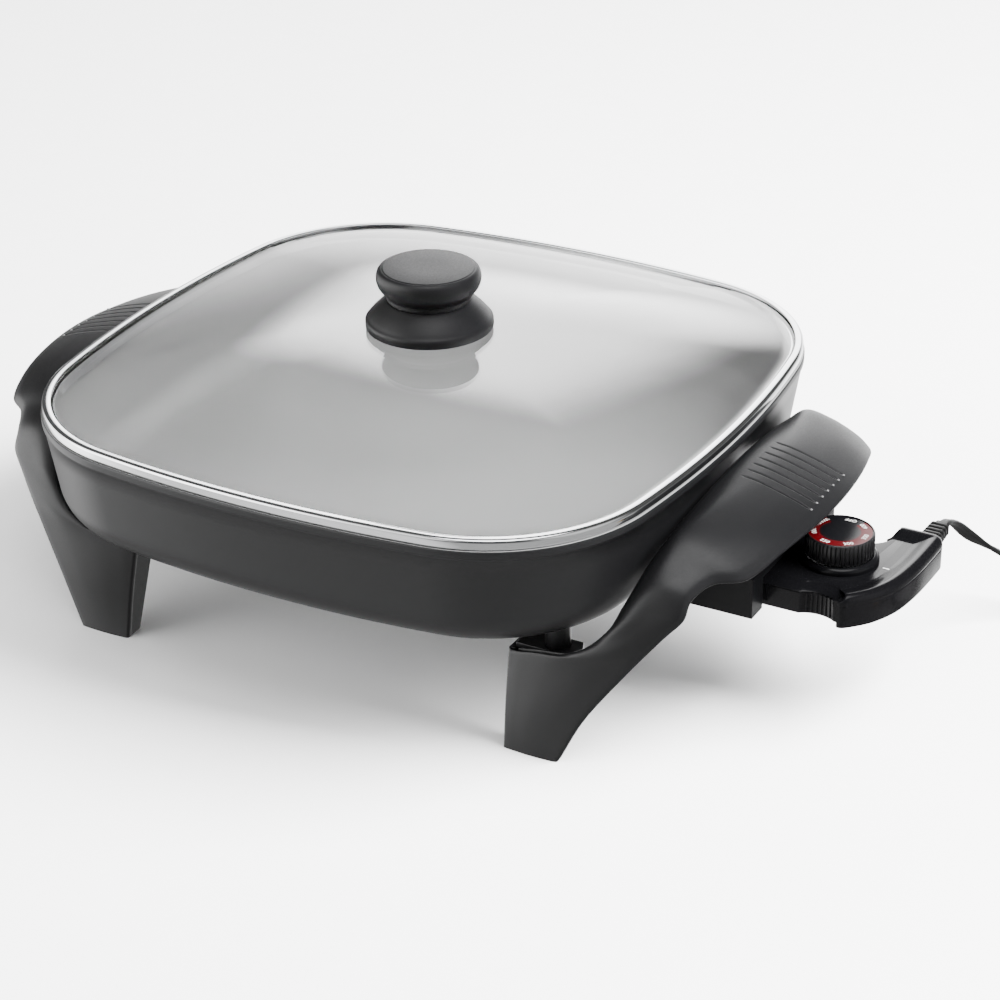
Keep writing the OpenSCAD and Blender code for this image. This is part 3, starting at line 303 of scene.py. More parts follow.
# extruded PVC: black with a soft satin sheen along the cord
cordPvc = mouldedPlastic("extrudedPvcBlack", "#090909", "#101010", 0.42, 0.5, 0.2, 1.53, 0.2)
# pad-printed inks on the dial: flat colours with a grain of about 0.4 mm
whiteInk = mouldedPlastic("padPrintWhite", "#a8a8a6", "#b8b8b6", 0.5, 0.4, 0.08)
blackInk = mouldedPlastic("padPrintBlack", "#050506", "#08080a", 0.35, 0.4, 0.08)
redInk = mouldedPlastic("padPrintRed", "#2c0103", "#380205", 0.4, 0.4, 0.08)
# tempered soda-lime glass: clear and even, with the faintest haze of handling in patches about 80 mm across
glass = makeFinish("temperedGlass", {"Base Color": linear("#fefefe"), "IOR": 1.52, "Transmission Weight": 1.0},
                   {"haze": {"Scale": 1000 / 83.3, "Detail": 1.0}}, gloss=("haze", 0.4, 0.9, 0.0, 0.03))
print("materials ready")

# the outline is shared by the pan and the lid: four wide arcs joined by four corner arcs
panShape = {"width": 305, "corner": 78.5, "side": 579, "base": 58, "depth": 51.4, "wall": 3, "floor": 4,
            "baseRound": 20, "taper": 0.156, "bead": 0.7, "beadHigh": 4.3, "legBoss": (115, 95), "guardBoss": (116, 31),
            "sensorBlock": (101, 134, 6.5, 52)}
half = panShape["width"] / 2
rimZ = panShape["base"] + panShape["depth"]
arcA, arcB = panShape["side"] - half, panShape["side"] - panShape["corner"]
cornerC = (math.sqrt(2 * arcB ** 2 - arcA ** 2) - arcA) / 2
tangent = math.degrees(math.atan2(cornerC, cornerC + arcA))


def outline(off, n=20):  # closed ring of the rounded square, moved outwards by off mm
    quarter = arc(-arcA, 0, panShape["side"] + off, 0, tangent, n)[:-1]
    quarter += arc(cornerC, cornerC, panShape["corner"] + off, tangent, 90 - tangent, 2 * n)
    quarter += arc(0, -arcA, panShape["side"] + off, 90 - tangent, 90, n)[1:-1]
    ring = []
    for q in range(4):
        for x, y in quarter:
            for _ in range(q):
                x, y = -y, x
            ring.append((x, y))
    return ring


def swept(profile, n=20):  # one ring for each (outward offset, height)
    return [[pt(x, y, z) for x, y in outline(o, n)] for o, z in profile]


def makePan():
    p = panShape
    lean = math.degrees(math.atan(p["taper"]))
    wallZ = rimZ - p["beadHigh"]
    wallOff = p["wall"] / math.cos(math.radians(lean))
    wallAt = lambda z: -p["taper"] * (wallZ - z)

    def fillet(r, z0, off):
        cz = z0 + r
        co = wallAt(cz - r * math.sin(math.radians(lean))) - off - r * math.cos(math.radians(lean))
        return [(co + r * math.cos(a), cz + r * math.sin(a))
                for a in (math.radians(-90 + (90 - lean) * k / 14) for k in range(15))]

    bead = p["bead"]
    outside = fillet(p["baseRound"], p["base"], 0) + [
        (wallAt(85), 85), (wallAt(97), 97), (wallAt(wallZ), wallZ), (bead * 0.5, wallZ + 0.35),
        (bead * 0.9, wallZ + 0.8), (bead, wallZ + 1.3), (bead, rimZ - 0.8), (bead - 0.15, rimZ - 0.3),
        (bead - 0.5, rimZ)]
    inside = [(wallAt(rimZ) - wallOff + 0.5, rimZ), (wallAt(rimZ) - wallOff + 0.15, rimZ - 0.2),
              (wallAt(rimZ - 0.6) - wallOff, rimZ - 0.6), (wallAt(96) - wallOff, 96), (wallAt(86) - wallOff, 86)]
    inside += fillet(p["baseRound"] - p["floor"], p["base"] + p["floor"], wallOff)[::-1]
    shape = Shape()
    shape.rings(swept(outside), 0, capEnd=False)
    shape.rings(swept([outside[-1]] + inside), 1, capStart=False)
    # cast ridge that carries the heating tube, bosses and the sensor block
    line = heaterLine()
    section = [(-6, 1), (-6, -4.8), (-5.4, -5.7), (-4.6, -6), (-3.7, -6), (-3.6, -1.5), (3.6, -1.5), (3.7, -6),
               (4.6, -6), (5.4, -5.7), (6, -4.8), (6, 1)]
    rings = []
    for i, (x, y) in enumerate(line):
        a, b = line[max(i - 1, 0)], line[min(i + 1, len(line) - 1)]
        d = Vector((b[0] - a[0], b[1] - a[1])).normalized()
        rings.append([pt(x - d.y * s, y + d.x * s, p["base"] + h) for s, h in section])
    shape.rings(rings, 0)
    for sx in (-1, 1):
        for sy in (-1, 1):
            shape.lathe([(0, 58.5), (5.9, 58.5), (5.5, 57.6), (5.5, 46.9), (5.2, 46.5), (2.05, 46.5), (2.05, 53)],
                        (sx * p["legBoss"][0], sy * p["legBoss"][1]), 40)
    for sy in (-1, 1):
        shape.lathe([(0, 58.5), (5.9, 58.5), (5.5, 57.6), (5.5, 53.8), (5.2, 53.5), (2.05, 53.5), (2.05, 57)],
                    (p["guardBoss"][0], sy * p["guardBoss"][1]), 40)
    x0, x1, y, z = p["sensorBlock"]
    shape.prism([(x0, -y), (x1, -y), (x1, y), (x0, y)], z, p["base"] + 0.5)
    shape.piece("panShell", [panOutside, panInside], "cooker", replaced=["pan"], slot="pan_coating", sharp=38)


heaterLook = {"end": 132, "gap": 16, "turn": 12, "reach": 85, "corner": 35}


def heaterLine():  # from one terminal round the pan and back to the other
    h = heaterLook
    s = h["reach"] - h["corner"]
    part = [(h["end"], h["gap"])] + arc(h["reach"] + h["turn"], h["gap"] + h["turn"], h["turn"], -90, -180, 10)
    part += arc(s, s, h["corner"], 0, 90, 14) + arc(-s, s, h["corner"], 90, 180, 14)
    return part + [(x, -y) for x, y in part[::-1]]


makePan()
print("pan ready")

# glass lid with its steel band and knob
lidLook = {"rise": 19, "flat": 16, "crown": 2.05, "glass": 3, "glassIn": 0.95, "lip": 4, "band": 0.8, "gap": 0.3,
           "drop": 5, "flange": 5.0442}
bandZ0 = rimZ + lidLook["gap"]
bandZ1 = bandZ0 + 2 * lidLook["band"] + lidLook["glass"] + 0.1
glassZ = bandZ0 + lidLook["band"] + 0.05
knobZ = glassZ + lidLook["glass"] + lidLook["rise"]


def dome(f):  # height of the glass at this share of the way from the middle to the edge
    flat, edge = lidLook["flat"] / half, 1 - (lidLook["lip"] + 1) / half
    if f <= flat:
        return lidLook["rise"]
    if f >= edge:
        return 0
    return lidLook["rise"] * (1 - ((f - flat) / (edge - flat)) ** lidLook["crown"])


def makeLid():
    ring = outline(-lidLook["glassIn"], 20)
    steps = [0.016 + 0.984 * (k / 46) ** 0.9 for k in range(47)]
    shape = Shape()
    top = [[pt(x * f, y * f, glassZ + lidLook["glass"] + dome(f)) for x, y in ring] for f in steps]
    low = [[pt(x * f, y * f, glassZ + dome(f)) for x, y in ring] for f in steps]
    shape.rings(top + low[::-1], 0, closed=True)
    shape.piece("lidGlass", [glass], "lid", replaced=["lid_glass"], slot="lid_glass", sharp=60)
    inner, drop = -lidLook["flange"], lidLook["drop"]  # the flange drops inside the rim
    z0, z1, t, lip = bandZ0, bandZ1, lidLook["band"], lidLook["lip"]
    profile = [(inner, z0 - drop), (inner, z0 - 0.4), (inner + 0.4, z0), (-0.9, z0), (-0.45, z0 + 0.12),
               (-0.12, z0 + 0.45), (0, z0 + 0.9), (0, z1 - 1.5), (-0.1, z1 - 0.95), (-0.4, z1 - 0.4), (-0.95, z1 - 0.1),
               (-1.5, z1),
               (0.35 - lip, z1), (0.1 - lip, z1 - 0.12), (-lip, z1 - 0.4), (-lip, z1 - t), (-t, z1 - t), (-t, z0 + t),
               (inner - t, z0 + t), (inner - t, z0 - drop)]
    band = Shape()
    band.rings(swept(profile), 0, closed=True)
    band.piece("steelBand", [polishedSteel], "lid", replaced=["lid_band"], slot="band_steel", sharp=45)
    darkBead = Shape()  # black bead that shows as a thin dark line inside the band, between band and glass
    under = z1 - t
    darkBead.rings(swept([(0.1 - lip, under - 0.5), (0.1 - lip, under - 0.12), (-lip - 0.5, under - 0.12),
                      (-lip - 0.8, under - 0.3), (-lip - 0.85, under - 0.5)]), 0, closed=True)
    darkBead.piece("lidDarkBead", [silicone], "lid", slot="silicone")


knobLook = {"skirt": 29.1, "cap": 23.8, "neck": 19.2, "skirtH": 13.3, "neckH": 2.2, "capH": 12.8}


def makeKnob():
    k = knobLook
    z, s, n, c = knobZ + 0.1, k["skirt"], k["neck"], k["cap"]
    top = knobZ + k["skirtH"]
    shape = Shape()
    outer = curve([(s, z + 3.2), (s - 0.35, z + 4), (s - 1.2, z + 4.9), (s - 2.6, z + 6.6), (s - 4.9, z + 9),
                   (s - 7.3, z + 11.2), (n + 0.9, top - 0.5), (n + 0.25, top - 0.05)], 6)
    shape.lathe([(6.05, knobZ + 1.05), (13, knobZ + 1.05), (14.5, knobZ + 8.2), (s - 9, knobZ + 8.2),
                 (s - 3, knobZ + 2), (s - 2.6, z + 0.2), (s - 2.3, z), (s - 0.5, z), (s - 0.1, z + 0.25),
                 (s, z + 0.7), (s, z + 2.5)] + outer + [(n, top - 0.02), (6.05, top - 0.02)], n=160)
    shape.piece("knobSkirt", [knobPlastic], "lid", replaced=["knob_skirt"], slot="knob_plastic", sharp=30)
    grip = Shape()
    z, high = top + k["neckH"], k["capH"]
    side = curve([(n, z), (n + 1.0, z + 0.9), (n + 2.4, z + 2.6), (c - 0.9, z + 4.4), (c - 0.12, z + 6.8), (c, z + 8.6),
                  (c - 0.35, z + 10.4), (c - 1.1, z + 11.7), (c - 2.0, z + 12.35), (c - 2.7, z + 12.5)], 6)
    grip.lathe([(4.05, knobZ + 1.05), (6, knobZ + 1.05), (6, top + 0.05), (n - 0.3, top + 0.05), (n, top + 0.3)] + side
               + [(c - 2.9, z + 12.62), (c - 3.1, z + 12.74), (c - 3.4, z + high), (8, z + high),
                  (0.02, z + high)], n=160)
    grip.piece("knobGrip", [knobPlastic], "lid", replaced=["knob_grip"], slot="knob_plastic", sharp=30)


makeLid()
makeKnob()
print("lid ready")

# leg-and-handle frames: one curved sheet each; every size in mm
handleLook = {"sheet": 3, "edge": 0.9, "grooves": 7, "pitch": 6, "grooveWide": 1.4, "grooveDeep": 0.95,
              "grooveStart": 164, "grooveEnd": 194, "studX": 195.4, "studR": 0.6, "studHigh": 0.5, "footWide": 112.9,
              "footIn": 54.6, "footDepth": 10.1, "legHigh": 44, "legLean": 1.9, "legRake": 0.323, "shelfZ": 43,
              "shelf": 3.5}
# each row runs across the sheet: distance past the pan's side, from the middle, height
handleNet = [
    [(-54.7, 112.9, 0), (-50.5, 113.3, 0), (-44.5, 113.6, 0), (-38.5, 113.6, 0), (-32, 113.3, 0), (-28.9, 112.9, 0)],
    [(-55.6, 109.2, 22), (-49.5, 110.4, 22), (-41, 111.6, 22), (-31.5, 111.8, 22.5), (-21.5, 111, 22.8),
     (-17.9, 110.4, 22.5)],
    [(-56.6, 104.1, 44), (-47.5, 105.8, 43.5), (-34.5, 107.2, 43.5), (-20.5, 107, 44), (-7.3, 105, 44.8),
     (-2.7, 104, 44.5)],
    [(-41.2, 104.4, 43.3), (-33.5, 105.4, 47.5), (-23, 106, 50.5), (-11.5, 105, 53), (0.1, 102.2, 54.8),
     (4.8, 100.4, 54.4)],
    [(-25.5, 102.6, 48.6), (-20, 103.2, 54), (-12, 103, 58.5), (-2, 101, 61.8), (7.8, 98.2, 63), (12.1, 96, 63.4)],
    [(-14.5, 98.6, 58.6), (-10, 99.2, 65), (-3.5, 98.5, 69.5), (5, 96.3, 71.5), (14.3, 94, 71.5), (18.6, 91.6, 70.8)],
    [(-9.7, 90, 70), (-5.5, 91, 77), (1, 90.5, 81.5), (8.5, 89.5, 82.5), (16.5, 88, 80.5), (19.9, 86.5, 78)],
    [(-8.2, 77.5, 77), (-3.2, 78.5, 86), (3.5, 79, 90), (12.5, 78.5, 88.6), (20.8, 77.5, 86), (25.1, 77.3, 82.6)],
    [(-6.2, 64, 84.3), (-1.1, 65, 92), (5.5, 66, 96.7), (19.5, 67, 93.4), (31, 67.5, 88), (36.7, 67.5, 83.4)],
    [(-3.9, 47, 90), (0.7, 47, 96.8), (9.5, 47.5, 100), (25.5, 48, 96.6), (37, 48, 92.2), (43.3, 48, 88.3)],
    [(-1.6, 24, 95.3), (3.1, 24, 101.3), (14.5, 24, 101.9), (29, 24, 98.5), (41, 24, 94.2), (47.7, 24, 90.8)],
    [(-0.6, 0, 97.8), (4, 0, 102.9), (15.5, 0, 102.6), (29.9, 0, 99), (42, 0, 95), (49.2, 0, 91.6)],
]


def along(points, t, kink=-1):  # the same cubic that the solid model uses
    i = min(int(t), len(points) - 2)
    f = t - i

    def slope(j, k):
        if j == 0:
            return points[1] - points[0]
        if j == len(points) - 1:
            return points[j] - points[j - 1]
        return points[j + 1] - points[j] if j == k else (points[j + 1] - points[j - 1]) / 2

    m1 = slope(i, kink)
    m2 = points[i + 1] - points[i] if i + 1 == kink else slope(i + 1, -1)
    g, h = f * f, f ** 3
    return points[i] * (2 * h - 3 * g + 1) + m1 * (h - 2 * g + f) + points[i + 1] * (3 * g - 2 * h) + m2 * (h - g)


def handleSurface():  # rows of points on the outer skin, held back from both long edges by the edge radius
    net = [[Vector((half + x, -y, z)) for x, y, z in row] for row in handleNet]
    net.append([Vector((p.x, -p.y, p.z)) for p in net[-2]])
    # one step is a row of the net; they lie closer towards the middle row, 11, where the grooves are
    steps = [i / 10 for i in range(90)] + [9 + i / 20 for i in range(20)] + [10 + i / 80 for i in range(81)]
    rows = []
    for t in steps:
        row = [along([r[c] for r in net], t, 2 if c == 0 else -1) for c in range(6)]
        u0 = handleLook["edge"] / (row[1] - row[0]).length
        u1 = handleLook["edge"] / (row[5] - row[4]).length
        rows.append([along(row, u0 + (5 - u0 - u1) * k / 64) for k in range(65)])
    steps += [2 * (len(net) - 2) - t for t in steps[-2::-1]]
    return rows + [[Vector((p.x, -p.y, p.z)) for p in row] for row in rows[-2::-1]], steps


def grooveDepth(p):
    g = handleLook
    side = g["grooves"] // 2
    if abs(p.y) > (side + 1) * g["pitch"] or not g["grooveStart"] - 2 < p.x < g["grooveEnd"] + 2:
        return 0
    k = min(max(round(p.y / g["pitch"]), -side), side)
    across = abs(p.y - k * g["pitch"]) / (g["grooveWide"] / 2)
    start = wave(g["grooveStart"] - 1, g["grooveStart"] + 2, p.x)
    end = 1 - wave(g["grooveEnd"] - 0.2, g["grooveEnd"] + 0.8, p.x)
    return g["grooveDeep"] * max(0, 1 - across) * start * end


def handleShape(side):  # side is 1 for the right frame and -1 for its mirror image
    rows, steps = handleSurface()
    m, n, r, sheet = len(rows), len(rows[0]), handleLook["edge"], handleLook["sheet"]
    flip = lambda p: pt(side * p.x, p.y, p.z)
    rings = []
    for i in range(m):
        far = min(steps[i], steps[-1] - steps[i])  # rows from the nearer foot
        outer, inner, ends = [], [], []
        for j in range(n):
            p = rows[i][j]
            du = rows[i][min(j + 1, n - 1)] - rows[i][max(j - 1, 0)]
            dv = rows[min(i + 1, m - 1)][j] - rows[max(i - 1, 0)][j]
            true = du.cross(dv).normalized()
            wall = Vector((0, math.copysign(1, p.y), 0))  # the legs keep their thickness along y
            thick = wall.lerp(true, wave(2.6, 5, far)).normalized()
            outer.append(p - true * grooveDepth(p))
            inner.append(p - thick * sheet)
            if j in (0, n - 1):
                way = du if j else -du
                way = (way - dv * way.dot(dv) / dv.length_squared).normalized()
                ends.append([p - thick * r + (thick * math.sin(a) + way * math.cos(a)) * r
                             for a in (math.radians(90 - 22.5 * k) for k in range(1, 5))]
                            + [p - thick * (sheet - r) + (way * math.cos(a) - thick * math.sin(a)) * r
                               for a in (math.radians(22.5 * k) for k in range(4))])
        ring = outer + ends[1] + inner[::-1] + ends[0][::-1]
        if i in (0, m - 1):
            ring = [Vector((p.x, p.y, 0)) for p in ring]
        rings.append([flip(p) for p in ring])
    shape = Shape()
    shape.rings(rings)
    return shape, flip


def legBack(shape, flip, sy):  # flange and screw shelf behind one leg
    g = handleLook
    lean, x0, foot = g["legLean"] / g["legHigh"], half - g["footIn"], g["footWide"]
    low = foot - g["footDepth"]
    high = low - g["legHigh"] * g["legRake"]
    side = [(low, 0), (foot - 1, 0), (108.2, 22), (103.1, g["legHigh"]), (103.1, 44.5), (high, 44.5)]
    shape.rings([[flip(Vector((x0 + dx - lean * z, sy * y, z))) for y, z in side] for dx in (0, g["sheet"])])
    plan = [(x0 + 0.4, high), (124, high), (128, 98.5), (128, 101.6), (x0 + 0.4, 101.6)]
    shape.rings([[flip(Vector((x, sy * y, z))) for x, y in plan] for z in (g["shelfZ"], g["shelfZ"] + g["shelf"])])


def studZ(y):  # height of the blade at the row of studs
    col = [[Vector((half + x, -yy, z)) for x, yy, z in row] for row in handleNet[-3:]]
    t = 2 - abs(y) / 24
    net = col + [[Vector((p.x, -p.y, p.z)) for p in col[1]]]
    row = [along([r[c] for r in net], t) for c in range(6)]
    best = min((abs(along(row, u / 50).x - handleLook["studX"]), along(row, u / 50).z) for u in range(120, 251))
    return best[1] + 0.05


def makeHandle(name, side, replaced):
    g = handleLook
    shape, flip = handleShape(side)
    shape.piece(name, [handlePlastic], "cooker", replaced=[replaced], slot="handle_plastic", sharp=60)
    backs = Shape()
    for sy in (-1, 1):
        legBack(backs, flip, sy)
    softEdges(backs.piece(name + "Backs", [handlePlastic], "cooker", slot="handle_plastic"), 0.8)
    studs = Shape()
    for k in range(-(g["grooves"] // 2), g["grooves"] // 2 + 1):  # a small dome at the outer end of each groove, its grey a painted glint
        y = k * g["pitch"]
        ball = []
        for a in range(0, 91, 15):
            r, h = g["studR"] * math.cos(math.radians(a)), g["studHigh"] * math.sin(math.radians(a))
            ball.append([flip(Vector((g["studX"] + r * math.cos(b * math.pi / 8), y + r * math.sin(b * math.pi / 8),
                                      studZ(y) + h))) for b in range(16)])
        studs.rings(ball, 0, capStart=False)
    # these grey domes are painted glints at the grooves' ends
    studs.piece(name + "GlintStuds", [glintStudPlastic], "cooker", slot="handle_plastic")


makeHandle("rightHandle", 1, "right_handle")
makeHandle("leftHandle", -1, "left_handle")
print("handles ready")

# heat control: case and cover meet at the seam; the scoop is the finger recess in the neck's front side
controlLook = {"start": 168, "shoulder": 180, "neck": 32, "low": 51.0, "seam": 61.5, "deck": 64.0, "scoopX": 197.5,
               "scoopLong": 15.5, "scoopDeep": 2.6, "ribs": 6, "ribX": 200.2, "ribPitch": 2.15, "ribR": 0.62,
               "bezelX": 202.2, "bezelR": 17.3}
gripEdge = [(216, -36), (218.9, -35.4), (224, -30.6), (228.6, -24.6), (232.4, -16.8), (234.6, -9.6), (236, -1.2),
            (236.9, 8.4), (237.3, 19.5), (237.4, 28), (237.4, 31.8)]


def gripLine():
    line = curve(gripEdge, 5) + arc(231.9, 31.8, 5.5, 0, 90, 10)[1:]
    return line + [(226, 37.3), (222, 37.3), (219, 37.3)]


def scoopY(x):  # half width of the neck along the recess
    c = controlLook
    return c["neck"] - c["scoopDeep"] * math.sin(math.pi * (x - c["scoopX"]) / c["scoopLong"]) ** 0.7


def hollowLine():  # edge of the deep hollow for the fingertips, from the cord's corner towards the pan
    return curve([(218.3, 37.1), (217.5, 36.2), (216.9, 33.5), (216.1, 30.4), (215, 27.4), (213.3, 24.4), (210.8, 21.6),
                  (207.6, 19.9), (203.8, 20), (200, 21.8), (196.4, 25), (193, 28.6), (189.8, 31.2), (187, 32)], 4)


def frontLine():
    c = controlLook
    recess = [c["scoopX"] + c["scoopLong"] * k / 24 for k in range(25)]
    line = [(c["start"], -c["neck"]), (c["shoulder"], -c["neck"])]
    return line + [(x, -scoopY(x)) for x in recess] + [(216.6, -c["neck"])]


def rearEnd():
    return [(controlLook["shoulder"], controlLook["neck"]), (controlLook["start"], controlLook["neck"])]


def caseLine():
    return frontLine()[:-1] + [(215.9, -controlLook["neck"])] + gripLine() + hollowLine() + rearEnd()


def inset(line, d):  # a closed line moved inwards by d mm
    out = []
    n = len(line)
    for i in range(n):
        a, b, c = Vector(line[i - 1]), Vector(line[i]), Vector(line[(i + 1) % n])
        u, v = b - a, c - b
        if u.length < 1e-6 or v.length < 1e-6:
            out.append(tuple(b))
            continue
        u.normalize()
        v.normalize()
        nu, nv = Vector((-u.y, u.x)), Vector((-v.y, v.x))
        m = nu + nv
        m = m / max(m.length_squared / 2, 0.5) if m.length > 1e-3 else nu
        out.append(tuple(b + m * d))
    return out


def makeControl():
    c = controlLook
    case = caseLine()
    base = Shape()
    levels = [(1.1, c["low"]), (0.5, c["low"] + 0.12), (0.15, c["low"] + 0.45), (0, c["low"] + 1.0),
              (0, c["seam"] - 0.35), (0.18, c["seam"] - 0.08)]
    base.rings([[pt(x, y, z) for x, y in inset(case, d)] for d, z in levels])
    for k in range(c["ribs"]):  # grip ribs in the front finger recess
        x = c["ribX"] + c["ribPitch"] * k
        base.prism(arc(x, 0.1 - scoopY(x), c["ribR"], 0, 360, 12)[:-1], c["low"] + 1, c["seam"] - 0.4)
    base.piece("controlCase", [controlPlastic], "control", replaced=["control_base"], slot="control_plastic", sharp=32)
    cover = Shape()
    # neck: a long chamfer runs down from the flat deck to the front wall, a short one at the rear
    front, rear = frontLine() + [(222, -30.5)], [(222, 33)] + hollowLine()[8:] + rearEnd()
    levels = [(0.15, 0.15, c["seam"]), (0.05, 0.05, c["seam"] + 0.3), (0.3, 0.15, 61.95), (0.9, 0.4, 62.25),
              (3, 0.9, 62.75), (5.6, 1.3, 63.3), (6.3, 1.6, 63.55), (6.8, 1.9, 63.8), (7.3, 2.2, 63.93),
              (8.2, 2.8, c["deck"])]
    rings = []
    for df, dr, z in levels:
        back = inset(rear, dr)
        back[0], back[-1] = rear[0], (c["start"], c["neck"] - dr)
        rings.append([pt(x, y + df, z) for x, y in front] + [pt(x, y, z) for x, y in back])
    cover.rings(rings)
    grip = gripLine()
    plan = [(219.5, -34.8)] + [q for q in grip if q[0] > 219.6] + [(219.5, 37.3)]
    levels = [(0.15, c["seam"]), (0.05, c["seam"] + 0.3), (0.2, 62.6), (0.6, 63.4), (1.2, 63.85),
              (2.2, c["deck"] - 0.02)]
    cover.rings([[pt(x, y, z) for x, y in inset(plan, d)] for d, z in levels])
    # raised rounded border round the outside of the grip: distance in from the edge, height
    hump = [(0.15, c["seam"] + 0.05), (0, c["seam"] + 0.3), (0, 62.9), (0.12, 63.9), (0.45, 64.8), (1.0, 65.5),
            (1.8, 66.0), (2.8, 66.28), (3.8, 66.25), (5.2, 65.9), (6.6, 65.4), (8, 64.85), (9.4, 64.35), (10.8, 64.05),
            (11.6, 63.9), (11.6, c["seam"] + 0.3)]
    rings, run = [], 0
    for i, (x, y) in enumerate(grip):
        a, b = grip[max(i - 1, 0)], grip[min(i + 1, len(grip) - 1)]
        run += math.dist(a, (x, y))
        grow = wave(0, 5, run)  # the border rises out of the corner by the neck
        d = Vector((1, 0)).lerp(Vector((b[0] - a[0], b[1] - a[1])).normalized(), grow).normalized()
        rise = 0.15 + 0.85 * grow
        rings.append([pt(x - d.y * s, y + d.x * s, min(z, 63.4) + max(z - 63.4, 0) * rise) for s, z in hump])
    edge, rearY = hollowLine()[:22], grip[-1][1]
    for back, down in ((1.1, 0), (0.5, 0.12), (0.12, 0.5), (0, 1.2)):  # the border ends at the hollow with a soft edge
        ring = []
        for s, z in hump:
            near = min(edge, key=lambda q: abs(q[1] - rearY + s))
            ring.append(pt(near[0] + back, rearY - s, max(z - down, min(z, 63.6))))
        rings.append(ring)
    cover.rings(rings)
    cover.piece("controlCover", [controlPlastic], "control", replaced=["control_cover"], slot="control_plastic",
                sharp=40)
    mark = Shape()
    mark.prism([(222.4, -0.28), (228.3, -0.38), (228.3, 0.38), (222.4, 0.28)], c["deck"] - 0.02, c["deck"] + 0.06)
    mark.piece("pointerMark", [whiteInk], "control", slot="dial_print")
    bezel = Shape()
    r, z = c["bezelR"], c["deck"] + 0.05
    bezel.lathe([(3.3, z), (r + 0.1, z), (r + 0.1, z + 1.0), (r - 0.05, z + 1.6), (r - 0.5, z + 2.3),
                 (r - 1.2, z + 2.8), (r - 1.9, z + 3.0), (r - 2.6, z + 2.9), (r - 3.2, z + 2.4), (3.3, z + 2.4)],
                (c["bezelX"], 0), 128)
    bezel.piece("dialBezel", [controlPlastic], "control", replaced=["dial_bezel"], slot="control_plastic", sharp=50)


# the numbers' angles run anticlockwise from the pointer; between the red angles the ring stays black
dialLook = {"x": 202.2, "r": 15.1, "z": 67.35, "h": 9.9, "ribs": 48, "ribDeep": 0.5, "faceDown": 0.42, "ringIn": 8.9,
            "ringOut": 14.0, "redFrom": 62, "redTo": 138, "numberHigh": 2.9, "numberR": 11.45, "numberThick": 0.02,
            "numbers": (("OFF", 88), ("400", 50), ("350", 0), ("300", -51), ("250", -103), ("200", -154),
                        ("WARM", -200))}


def makeDial():
    d = dialLook
    n = d["ribs"] * 12
    rings = []
    for r, z, rib in ((d["r"] - 1.6, 0.0, 0), (d["r"] - 0.5, 0.0, 0), (d["r"] - 0.35, 0.5, 1), (d["r"], 1.2, 1),
                      (d["r"], 8.6, 1), (d["r"] - 0.12, 9.2, 0.6), (d["r"] - 0.4, 9.7, 0), (d["r"] - 0.75, d["h"], 0),
                      (d["r"] - 0.95, 9.88, 0), (d["r"] - 1.0, 9.4, 0), (6, 9.4, 0)):
        ring = []
        for k in range(n):
            a = 2 * math.pi * k / n
            cut = max(0, math.cos(d["ribs"] * a)) ** 3 * d["ribDeep"] * rib
            ring.append(pt(d["x"] + (r - cut) * math.cos(a), (r - cut) * math.sin(a), d["z"] + z))
        rings.append(ring)
    shape = Shape()
    shape.rings(rings)
    shape.piece("dialKnob", [dialPlastic], "dial", replaced=["temperature_dial"], slot="control_plastic", sharp=55)
    face = Shape()
    top = d["z"] + d["h"] - d["faceDown"]
    steps = 240
    for lo, hi in ((0.01, d["ringIn"]), (d["ringIn"], d["ringOut"])):
        for k in range(steps):
            a0, a1 = 360 * k / steps, 360 * (k + 1) / steps
            red = hi == d["ringOut"] and not d["redFrom"] < (a0 + a1) / 2 < d["redTo"]
            corners = [(lo, a0), (hi, a0), (hi, a1), (lo, a1)]
            face.add([pt(d["x"] + r * math.cos(math.radians(a)), r * math.sin(math.radians(a)), top) for r,
                      a in corners],
                     [[0, 1, 2, 3]], 1 if red else 0)
    face.piece("dialFace", [blackInk, redInk], "dial", replaced=["dial_face"], slot="dial_print")
    for text, at in d["numbers"]:
        data = bpy.data.curves.new("dialNumber" + text, "FONT")
        data.body, data.size, data.align_x, data.align_y = text, d["numberHigh"] * mm, "CENTER", "CENTER"
        data.extrude = d["numberThick"] * mm
        data.space_character = 1.05
        data.materials.append(whiteInk)
        number = bpy.data.objects.new("dialNumber" + text, data)
        bpy.context.scene.collection.objects.link(number)
        a, r = math.radians(at), d["numberR"]
        spot = Matrix.Translation(pt(d["x"] + r * math.cos(a), r * math.sin(a), top + 0.03))
        number.matrix_world = spot @ Matrix.Rotation(a + math.pi / 2, 4, "Z")  # read from outside the dial
        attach(number, "dial")


makeControl()
makeDial()
print("heat control ready")

# strain relief, cord, tie and plug
reliefLook = {"x": 211.5, "z": 60.6, "wall": 37.35, "ribs": 5, "long": 14.2, "nose": 18.2}


